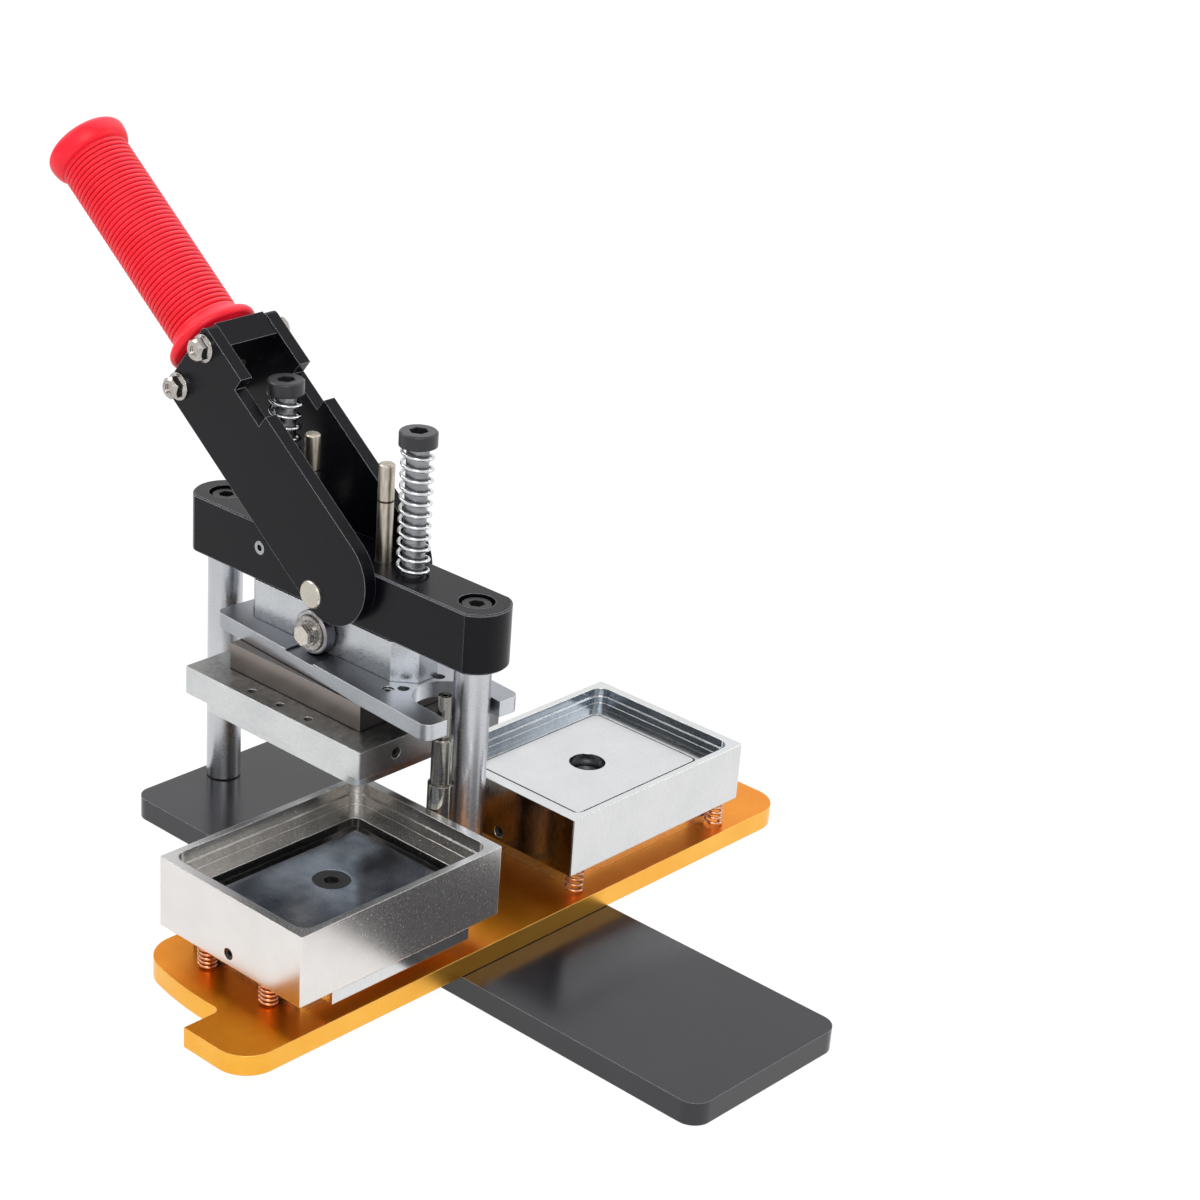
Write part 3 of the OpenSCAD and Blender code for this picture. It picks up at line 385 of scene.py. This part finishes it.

# %% [markdown]
# ## The two dies
# The pick-up die has a blasted frame round a pad of hardened steel, which the heat left with blue
# clouds. The crimping die is plated bright and its pad is lapped. The walls of each cavity are
# painted darker than the open top, as painted shade and reflection, and each frame's top is painted
# a shade of its own.

# %% Finishes of the dies
of_its_own = {
    "die_a_pad": metal(
        "blued_tool_steel", "#747c8c", "#ced5df", (0.14, 0.22), 0.6, depth_mm=0.0006, cloud_mm=14),
    # Its top is painted darker, and its cavity walls darker still, as painted shade and reflection; its edges
    # carry a painted highlight
    "die_a_frame": metal(
        "satin_nickel_plate", "#dedad7", "#e8e5e2", (0.2, 0.28), 0.7, depth_mm=0.0004, edge_highlight="#f4f2ef",
        sides=[(looking, UP, "#c9c9c9", "#d8d8d8"), (inside, "die_a_frame", "#7a7672", "#aca8a2")]),
    # The left side of this frame is painted darker, a painted reflection of the dark side of the room; its top is
    # painted lighter, its cavity darker, and its edges carry a painted highlight
    "die_b_frame": metal(
        "bright_nickel_plate", "#d2d3d4", "#dcdcdc", (0.12, 0.18), 0.7,
        stretch=(1, 1, 0.3), depth_mm=0.0004, edge_highlight="#f0f0f0",
        sides=[(looking, UP, "#dadbdc", "#e2e3e4"), (looking, LEFT, "#5f5a56", "#8a847e"),
               (inside, "die_b_frame", "#6c747c", "#99a1a9")]),
    "die_b_pad": metal(
        "lapped_steel", "#d5d7d9", "#e1e2e4", (0.16, 0.26), 0.8, depth_mm=0.0008, cloud_mm=18),
}
print("die finishes:", len(of_its_own))

# %% [markdown]
# ## The plates of the ram
# The upper die was cast and then milled on its lower side. Its top and front are painted darker,
# as painted shade. The fork plate above it is zinc plated plate; its front edge is painted
# brightest, as painted light. Both have a painted highlight on their edges and painted shade
# where other pieces meet them.

# %% Finishes of the ram's plates
of_its_own["upper_die"] = metal(
    "milled_cast_plate", "#c6c8c9", "#d8dada", (0.3, 0.42), 0.8,
    stretch=(0.3, 0.3, 1), depth_mm=0.003, edge_highlight="#f4f4f4", crevice_shade="#26272a",
    sides=[(looking, UP, "#8e8e8b", "#b4b4b1"), (looking, FRONT, "#858383", "#9c9a9a")])
of_its_own["fork_plate"] = metal(
    "zinc_plated_plate", "#9a9da2", "#acafb3", (0.28, 0.38), 0.8,
    stretch=(1, 0.5, 1), depth_mm=0.001, edge_highlight="#e8eaec", crevice_shade="#26272a",
    sides=[(looking, UP, "#9a9da3", "#b2b5bc"), (looking, FRONT, "#c4c7cc", "#d6d9dd")])
print("with the ram's plates:", len(of_its_own))

# %% [markdown]
# ## Pins, posts and rollers
# These are turned pieces. The rollers are bearings with a dark, oiled tread and a brighter side,
# so each takes its side colour from the way its outer face looks.

# %% Finishes of turned pieces
# The pale edge colours of these pieces are a painted highlight
for roller, outward in (("left_roller", LEFT), ("right_roller", RIGHT)):
    of_its_own[roller] = metal(
        "oiled_bearing_steel_" + roller.split("_")[0], "#57555b", "#6d6b72", (0.3, 0.42), 0.6,
        depth_mm=0.001, cloud_mm=6, edge_highlight="#a9a7a6", sides=[(looking, outward, "#8d8b8a", "#c4c2c0")])
# Stainless steel is warmer than zinc, and pressed heads are clouded
of_its_own["handle_bolts"] = metal(
    "stainless_bolts", "#938e89", "#c4bfb9", (0.16, 0.26), 0.5, depth_mm=0.001, cloud_mm=5, edge_highlight="#e6e2dc")
# Nickel plate is a little yellow
of_its_own["pivot_pin"] = metal(
    "nickel_pin", "#b5afa4", "#cbc6bb", (0.22, 0.32), 0.5, depth_mm=0.001, edge_highlight="#e2ddd2")
# Polished posts are smooth enough to mirror the dark plates round them
for post, finish, dark, light, rough in (
        ("locating_post", "polished_post", "#76746f", "#a3a09a", (0.12, 0.2)),
        ("post_sleeve", "polished_sleeve", "#86837d", "#b3afa8", (0.12, 0.2)),
        ("hollow_pin", "dark_steel_tube", "#716f6b", "#9c9993", (0.14, 0.22))):
    of_its_own[post] = metal(finish, dark, light, rough, 0.3, stretch=(0.2, 0.2, 1), depth_mm=0.0005)
print("with turned pieces:", len(of_its_own))

# %% [markdown]
# ## The spring bolts
# A spring bolt has a black oxided head above its spring and a plain bright shank inside it. It is
# one piece, so the material looks at the height: below the top of the spring it is bare steel.

# %% Black head, bright shank
material, tree, coords, shader = new_material("black_headed_bolt")
head_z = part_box("return_springs")[1].z
height = add(tree, "ShaderNodeSeparateXYZ", links={"Vector": coords["Object"]}).outputs["Z"]
above = add(tree, "ShaderNodeMath", {1: head_z}, {0: height}, operation="GREATER_THAN").outputs[0]
steel = add(tree, "ShaderNodeMath", {0: 1.0}, {1: above}, operation="SUBTRACT").outputs[0]
spots = pattern(tree, coords, 0.6)
rings = pattern(tree, coords, 0.5, 2, 0.6, (0.1, 0.1, 1))
bright = shades(tree, rings, "#7b7c7f", "#9d9ea1")
side = shades(tree, spots, "#1b1b1f", "#28282c")
# The top of the head is painted lighter than its sides: a painted highlight
head = painted(tree, side, looking(tree, coords, UP), shades(tree, spots, "#303034", "#404044"))
tree.links.new(painted(tree, bright, above, head), shader.inputs["Base Color"])
tree.links.new(steel, shader.inputs["Metallic"])
roughen(tree, shader, spots, 0.28, 0.4)
relief(tree, shader, spots, 0.003, 0.8)
of_its_own["spring_bolts"] = material
print("heads are black above", round(head_z / MM, 1), "mm")

# %% [markdown]
# ## The roller bolts
# These are turned and nickel plated. The bright polished head stands on a dull, scratched collar,
# and both bolts are one node, so the head is what lies furthest from the middle on either side.

# %% Bright head, dull collar
HEAD_L = 1.4 * MM

material, tree, coords, shader = new_material("nickel_roller_bolt")
head_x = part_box("roller_bolts")[1].x - HEAD_L
across = add(tree, "ShaderNodeSeparateXYZ", links={"Vector": coords["Object"]}).outputs["X"]
out = add(tree, "ShaderNodeMath", links={0: across}, operation="ABSOLUTE").outputs[0]
head = add(tree, "ShaderNodeMath", {1: head_x}, {0: out}, operation="GREATER_THAN").outputs[0]
marks = pattern(tree, coords, 1.1, 4, 0.7)
dull = shades(tree, marks, "#6e6a68", "#b9b5b1", 0.35, 0.62)
polished = shades(tree, marks, "#bdb7ad", "#d6d0c6")
tree.links.new(painted(tree, dull, head, polished), shader.inputs["Base Color"])
shader.inputs["Metallic"].default_value = 1.0
roughen(tree, shader, marks, 0.22, 0.34)
relief(tree, shader, marks, 0.004)
of_its_own["roller_bolts"] = material
print("heads are bright beyond", round(head_x / MM, 1), "mm from the middle")

# %% [markdown]
# ## The guide rods
# Two nickel plated rods with a ring groove below their tops. The groove is less than a
# millimetre wide, so a ring of darker colour at the right height stands in for it: painted shade
# where a cut would hold shade.

# %% Nickel with a ring
RING_DROP, RING_HALF = 15.7 * MM, 0.45 * MM

material, tree, coords, shader = new_material("nickel_guide_rod")
ring_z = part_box("guide_rods")[1].z - RING_DROP
height = add(tree, "ShaderNodeSeparateXYZ", links={"Vector": coords["Object"]}).outputs["Z"]
ring = add(tree, "ShaderNodeMath", {1: ring_z, 2: RING_HALF}, {0: height}, operation="COMPARE").outputs[0]
streaks = pattern(tree, coords, 1.2, 3, 0.6, (1, 1, 0.15))
nickel = shades(tree, streaks, "#a0978a", "#cfc7ba")
# The dark ring is painted shade in place of the groove
tree.links.new(painted(tree, nickel, ring, "#4a4036"), shader.inputs["Base Color"])
shader.inputs["Metallic"].default_value = 1.0
roughen(tree, shader, streaks, 0.3, 0.4)
relief(tree, shader, streaks, 0.001)
of_its_own["guide_rods"] = material
print("finishes of single pieces:", len(of_its_own))

# %% [markdown]
# ## The rubber of the grip
# The grip is moulded from soft red vinyl. It is not shiny, but its ribs catch a soft light, and
# the mould leaves a very fine skin. Its grooves are painted a deeper red, as painted shade, and
# the side that looks up is painted pinker, as a painted highlight.

# %% Red vinyl
GROOVE_MM, GROOVE_DARK, GROOVE_CLEAR = 1.6, 0.25, 0.65
# The direction whose faces get the painted highlight
HIGHLIGHT_SIDE = (0.3, 0, 0.95)

material, tree, coords, shader = new_material("moulded_red_vinyl")
skin = pattern(tree, coords, 0.5, 2)
vinyl = shades(tree, pattern(tree, coords, 20, 3), "#f40f26", "#ff1c34")
# Faces looking up are painted pinker: a painted highlight
vinyl_with_painted_highlight = painted(tree, vinyl, looking(tree, coords, HIGHLIGHT_SIDE), "#ff5a69")
# Where little sky is open, in the grooves, the red is painted deeper: painted shade
open_skin = open_to_air(tree, GROOVE_MM, GROOVE_DARK, GROOVE_CLEAR)
tree.links.new(painted(tree, "#a8000e", open_skin, vinyl_with_painted_highlight), shader.inputs["Base Color"])
shader.inputs["Specular IOR Level"].default_value = 0.36
roughen(tree, shader, skin, 0.38, 0.5)
relief(tree, shader, skin, 0.006, 0.3)
finishes["red_rubber"] = material
print("grooves deepen the red within", GROOVE_MM, "mm")

# %% [markdown]
# ## Dress the CAD pieces
# The record says which slot each piece takes its finish from. A piece with a finish of its own
# takes that instead. The meshes stay as the CAD made them, and only the material slot changes.

# %% Give every CAD node its finish
slot_of = {part["node"]: part["material_slot"] for part in frame["record"]["subparts"]}
for name, piece in nodes.items():
    piece.data.materials.clear()
    piece.data.materials.append(of_its_own.get(name) or finishes[slot_of[name]])
print("dressed", len(slot_of), "nodes")

# %% [markdown]
# ## The springs
# Each spring is one wire wound round a cylinder, so its shape follows a rule. Geometry Nodes
# draw a spiral, give it the wire's thickness and place a copy on every point of a small mesh.
# A copy of the CAD spring would show flat facets, while this one stays round up close.

# %% The spring tree
SPRING_SIZES = ("Coils", "Coil radius", "Wire radius", "Height")
TURN_STEPS, WIRE_SIDES = 40, 14


def spring_tree(name, finish):
    """Geometry nodes that set a coil spring on each point; sizes are the tree's named inputs."""
    tree = bpy.data.node_groups.new(name, "GeometryNodeTree")
    tree.interface.new_socket("Places", in_out="INPUT", socket_type="NodeSocketGeometry")
    for label in SPRING_SIZES:
        tree.interface.new_socket(label, in_out="INPUT", socket_type="NodeSocketFloat")
    tree.interface.new_socket("Springs", in_out="OUTPUT", socket_type="NodeSocketGeometry")
    start = add(tree, "NodeGroupInput").outputs
    thick = add(tree, "ShaderNodeMath", {1: 2.0}, {0: start["Wire radius"]}, operation="MULTIPLY")
    rise = add(tree, "ShaderNodeMath", links={0: start["Height"], 1: thick.outputs[0]}, operation="SUBTRACT")
    spiral = add(tree, "GeometryNodeCurveSpiral", {"Resolution": TURN_STEPS},
                 {"Rotations": start["Coils"], "Start Radius": start["Coil radius"],
                  "End Radius": start["Coil radius"], "Height": rise.outputs[0]})
    section = add(tree, "GeometryNodeCurvePrimitiveCircle", {"Resolution": WIRE_SIDES},
                  {"Radius": start["Wire radius"]})
    wire = add(tree, "GeometryNodeCurveToMesh", {"Fill Caps": True},
               {"Curve": spiral.outputs["Curve"], "Profile Curve": section.outputs["Curve"]})
    shift = add(tree, "ShaderNodeCombineXYZ", links={"Z": start["Wire radius"]})
    lifted = add(tree, "GeometryNodeTransform",
                 links={"Geometry": wire.outputs["Mesh"], "Translation": shift.outputs["Vector"]})
    copies = add(tree, "GeometryNodeInstanceOnPoints",
                 links={"Points": start["Places"], "Instance": lifted.outputs["Geometry"]})
    real = add(tree, "GeometryNodeRealizeInstances", links={"Geometry": copies.outputs["Instances"]})
    smooth = add(tree, "GeometryNodeSetShadeSmooth", links={"Geometry": real.outputs["Geometry"]})
    dressed = add(tree, "GeometryNodeSetMaterial", {"Material": finish},
                  {"Geometry": smooth.outputs["Geometry"]})
    add(tree, "NodeGroupOutput", links={"Springs": dressed.outputs["Geometry"]})
    return tree


print("a spring has", TURN_STEPS, "steps to a turn and", WIRE_SIDES, "sides round its wire")


# %% From tree to mesh
def made_by(tree, name, places, sizes):
    """A plain mesh object from running the tree on points at places, with the named sizes."""
    points = bpy.data.meshes.new(name + "_places")
    points.from_pydata(places, [], [])
    piece = bpy.data.objects.new(name, points)
    bpy.context.scene.collection.objects.link(piece)
    modifier = piece.modifiers.new("nodes", "NODES")
    modifier.node_group = tree
    for item in tree.interface.items_tree:
        if item.in_out == "INPUT" and item.name in sizes:
            modifier[item.identifier] = sizes[item.name]
    bpy.context.view_layer.update()
    ready = piece.evaluated_get(bpy.context.evaluated_depsgraph_get())
    mesh = bpy.data.meshes.new_from_object(ready)
    piece.modifiers.clear()
    piece.data = mesh
    return piece


print("inputs of a spring:", SPRING_SIZES)

# %% [markdown]
# ## Wind them
# The CAD node gives each spring's place and height, and a spring stands on its lower end. Each is
# given the share of its height that its joint's travel would leave, which is only printed; the
# springs of the crimping die are given a little less, so that the flat wire would stay clear of the frame above.


# %% Wind the springs
def wind(name, node, body, finish, keep, coils, outer_mm, wire_mm):
    """Springs in place of a CAD node: they stand where it stands and move with its body; keep is only printed."""
    low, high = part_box(node)
    reach = outer_mm * MM / 2
    places = sorted({(round(x, 6), round(y, 6), low.z)
                     for x in (low.x + reach, high.x - reach) for y in (low.y + reach, high.y - reach)})
    height = high.z - low.z
    sizes = dict(zip(SPRING_SIZES, (float(coils), (outer_mm - wire_mm) / 2 * MM, wire_mm / 2 * MM, height)))
    piece = made_by(spring_tree(name + "_tree", finishes[finish]), name, places, sizes)
    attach(piece, body)
    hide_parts(node)
    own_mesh(piece)
    print(name, "at", len(places), "places, keeps", keep, "of", round(height / MM, 1), "mm")


wind("wound_return_springs", "return_springs", "press_frame", "spring_steel",
     keep=0.9239, coils=11, outer_mm=14, wire_mm=1.5)
wind("wound_pickup_springs", "die_a_springs", "swing_table", "copper_spring",
     keep=0.543, coils=5, outer_mm=8.2, wire_mm=1.3)
wind("wound_crimping_springs", "die_b_springs", "swing_table", "copper_spring",
     keep=0.03, coils=4, outer_mm=8.2, wire_mm=1.3)

# %% [markdown]
# ## The grip
# The grip is soft vinyl, moulded in one piece: a thick collar, a smooth neck, rounded ribs with
# narrow grooves between them, and a knob. A lathe is the right tool: half an outline is drawn from
# named sizes and turned once round the handle. Bumps in the material would leave its edge smooth.

# %% Arcs and turning
FACETS = 96


def arc(centre, size, start, end, steps):
    """Points on an ellipse from one angle to another, in degrees."""
    turns = [math.radians(start + (end - start) * i / steps) for i in range(steps + 1)]
    return [(centre[0] + size[0] * math.cos(a), centre[1] + size[1] * math.sin(a)) for a in turns]


def turned(name, outline, foot, along):
    """A closed mesh from an outline of (radius, height) in mm, turned round the axis along from foot."""
    across = along.orthogonal().normalized()
    beside = along.cross(across)
    turns = [math.tau * i / FACETS for i in range(FACETS)]
    spokes = [across * math.cos(a) + beside * math.sin(a) for a in turns]
    points = [foot + (along * height + spoke * radius) * MM for radius, height in outline for spoke in spokes]
    starts = [j * FACETS for j in range(len(outline))]
    faces = [(a + i, a + (i + 1) % FACETS, b + (i + 1) % FACETS, b + i)
             for a, b in zip(starts, starts[1:] + starts[:1]) for i in range(FACETS)]
    mesh = bpy.data.meshes.new(name)
    mesh.from_pydata(points, [], faces)
    work = bmesh.new()
    work.from_mesh(mesh)
    bmesh.ops.remove_doubles(work, verts=work.verts, dist=0.001 * MM)
    bmesh.ops.recalc_face_normals(work, faces=work.faces)
    for face in work.faces:
        face.smooth = True
    work.to_mesh(mesh)
    work.free()
    piece = bpy.data.objects.new(name, mesh)
    bpy.context.scene.collection.objects.link(piece)
    return piece


print("turned pieces have", FACETS, "sides")

# %% Draw the grip's outline
GRIP_L, BARREL_R, BORE_R = 112, 15.7, 6.03
COLLAR_R, FOOT_STEP, RIM_R, RIM_AT = 20.5, 0.4, 2.3, 5.2
NECK_L, NECK_LAND = 12.4, 0.6
RIBS, GROOVE = 40, 1.0
KNOB_L, KNOB_W, KNOB_STEP, KNOB_SHOULDER, KNOB_ROUND, BORE_PAST = 10, 2.5, 0.4, 7.0, 3.0, 0.6
# One rib from groove to groove: how far along its pitch, and how much of the groove's depth
RIB_SHARES = ((0, 1), (0.12, 1), (0.17, 0.4), (0.28, 0.08), (0.45, 0), (0.67, 0), (0.84, 0.08), (0.95, 0.4))

rim_mid = COLLAR_R - RIM_R
neck_top = NECK_L - NECK_LAND
barrel_end = GRIP_L - KNOB_L
pitch = (barrel_end - NECK_L) / RIBS
# The foot with its rim, and the hollow curve of the neck
outline = [(BORE_R, 0), (BARREL_R - FOOT_STEP, 0)]
outline += arc((rim_mid, RIM_AT), (RIM_R, RIM_R), -90, 90, 14)
outline += arc((rim_mid, neck_top), (rim_mid - BARREL_R, neck_top - RIM_AT - RIM_R), 262, 180, 8)
# The ribs along the barrel
for i in range(RIBS):
    outline += [(BARREL_R - GROOVE * sunk, NECK_L + pitch * (i + share)) for share, sunk in RIB_SHARES]
outline.append((BARREL_R - GROOVE, barrel_end))
# The knob with its rounded end, and back down to the end of the bore
outline += arc((BARREL_R, barrel_end + KNOB_SHOULDER), (KNOB_W, KNOB_SHOULDER - KNOB_STEP), -90, -20, 7)
outline += arc((BARREL_R + KNOB_W - KNOB_ROUND, GRIP_L - KNOB_ROUND), (KNOB_ROUND, KNOB_ROUND), 0, 90, 8)
outline += [(0, GRIP_L), (0, barrel_end + BORE_PAST), (BORE_R, barrel_end + BORE_PAST)]
print("outline:", len(outline), "points, one rib every", round(pitch, 2), "mm")

# %% Turn the grip on the lever
LEVER_TILT = math.radians(37.25)
FOOT_ALONG, FOOT_ABOVE = 112.85, 15.4

pivot = Vector(joints["lever_pivot"]["pos_m"])
along_lever = Vector((0, math.cos(LEVER_TILT), math.sin(LEVER_TILT)))
above_lever = Vector((0, -math.sin(LEVER_TILT), math.cos(LEVER_TILT)))
foot = pivot + (along_lever * FOOT_ALONG + above_lever * FOOT_ABOVE) * MM
grip = turned("ribbed_grip", outline, foot, along_lever)
grip.data.materials.append(finishes["red_rubber"])
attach(grip, "lever")
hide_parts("grip")

# %% [markdown]
# ## Floor and sky
# Product pictures of this kind are cut out on white. More lamps would turn the floor white too,
# but they would bleach the press. So the floor and the sky are white only for the camera and for
# mirrors, while the light that falls on the press stays gentle. A share of matt floor is left in
# the white, so that the press keeps its shadow.


# %% The studio's helpers
def seen(tree):
    """1 for rays of the camera, mirrors and glass, and 0 for the light that falls on the press."""
    rays = add(tree, "ShaderNodeLightPath").outputs
    direct = add(tree, "ShaderNodeMath", links={0: rays["Is Camera Ray"], 1: rays["Is Glossy Ray"]},
                 operation="MAXIMUM").outputs[0]
    return add(tree, "ShaderNodeMath", links={0: direct, 1: rays["Is Transmission Ray"]},
               operation="MAXIMUM").outputs[0]


def board(name, width, height):
    """A flat sheet of one face round its middle, in metres."""
    w, h = width / 2, height / 2
    mesh = bpy.data.meshes.new(name)
    mesh.from_pydata([(-w, -h, 0), (w, -h, 0), (w, h, 0), (-w, h, 0)], [], [(0, 1, 2, 3)])
    sheet = bpy.data.objects.new(name, mesh)
    bpy.context.scene.collection.objects.link(sheet)
    return sheet


# %% The white floor
FLOOR_SIZE = 12.0
FLOOR_GLOW, SHADOW_LEFT = 1.09, 0.12

floor = board("floor", FLOOR_SIZE, FLOOR_SIZE)
material = bpy.data.materials.new("white_floor")
tree = empty_tree(material)
share = add(tree, "ShaderNodeMath", {1: 1 - SHADOW_LEFT}, {0: seen(tree)}, operation="MULTIPLY").outputs[0]
matt = add(tree, "ShaderNodeBsdfDiffuse", {"Color": linear("#f4f4f4")})
glow = add(tree, "ShaderNodeEmission", {"Color": linear("#ffffff"), "Strength": FLOOR_GLOW})
both = add(tree, "ShaderNodeMixShader", links={0: share, 1: matt.outputs[0], 2: glow.outputs[0]})
add(tree, "ShaderNodeOutputMaterial", links={"Surface": both.outputs[0]})
floor.data.materials.append(material)
print("floor:", FLOOR_SIZE, "m across")

# %% The white sky
SKY_ON_PRESS, SKY_SEEN = 0.55, 1.0

world = bpy.data.worlds.new("white_sky")
tree = empty_tree(world)
strength = add(tree, "ShaderNodeMapRange", {"To Min": SKY_ON_PRESS, "To Max": SKY_SEEN},
               {"Value": seen(tree)}).outputs["Result"]
sky = add(tree, "ShaderNodeBackground", {"Color": linear("#ffffff")}, {"Strength": strength})
add(tree, "ShaderNodeOutputWorld", links={"Surface": sky.outputs[0]})
bpy.context.scene.world = world
print("sky:", SKY_ON_PRESS, "on the press and", SKY_SEEN, "as seen")

# %% [markdown]
# ## Lamps
# Three soft boxes: a key from the front left, a weaker fill from the right, and one from behind
# that draws the upper edges. Large lamps keep the shadows and the highlights soft.

# %% Hang the lamps
MIDDLE = (0, -0.05, 0.1)


def aim(item, place, axis):
    """Stand item at place, turned so that its axis points at the middle of the press."""
    item.location = place
    item.rotation_euler = (Vector(MIDDLE) - Vector(place)).to_track_quat(axis, "Y").to_euler()


def lamp(name, place, size, power):
    """A soft square lamp."""
    data = bpy.data.lights.new(name, "AREA")
    data.energy = power
    data.size = size
    light = bpy.data.objects.new(name, data)
    aim(light, place, "-Z")
    bpy.context.scene.collection.objects.link(light)
    print(name, power, "W")


lamp("key_lamp", (-0.9, -1.0, 1.3), 0.8, 12)
lamp("fill_lamp", (1.2, -0.9, 0.8), 0.9, 5)
lamp("back_lamp", (-0.7, 1.1, 1.2), 0.9, 8)

# %% [markdown]
# ## Dark cards
# Bright metal only looks like metal when it has something dark to mirror. A studio hangs black
# cards just outside the picture for that. Only reflections see these cards.


# %% Hang the cards
def card(name, place, width, height, shade):
    """A dark board that only mirrors see."""
    sheet = board(name, width, height)
    aim(sheet, place, "Z")
    sheet.visible_camera = sheet.visible_diffuse = sheet.visible_shadow = False
    cloth = bpy.data.materials.new(name + "_cloth")
    tree = empty_tree(cloth)
    dim = add(tree, "ShaderNodeEmission", {"Color": linear(shade), "Strength": 1.0})
    add(tree, "ShaderNodeOutputMaterial", links={"Surface": dim.outputs[0]})
    sheet.data.materials.append(cloth)
    print(name, width, "by", height, "m")


card("right_card", (0.9, -1.1, 0.35), 0.5, 1.0, "#3a3d44")
card("back_card", (-0.9, 0.9, 0.5), 0.6, 1.2, "#2c2e33")

# %% [markdown]
# ## Finish
# The Standard view shows each colour about as it is written.

# %% Set the view
bpy.context.scene.view_settings.view_transform = "Standard"
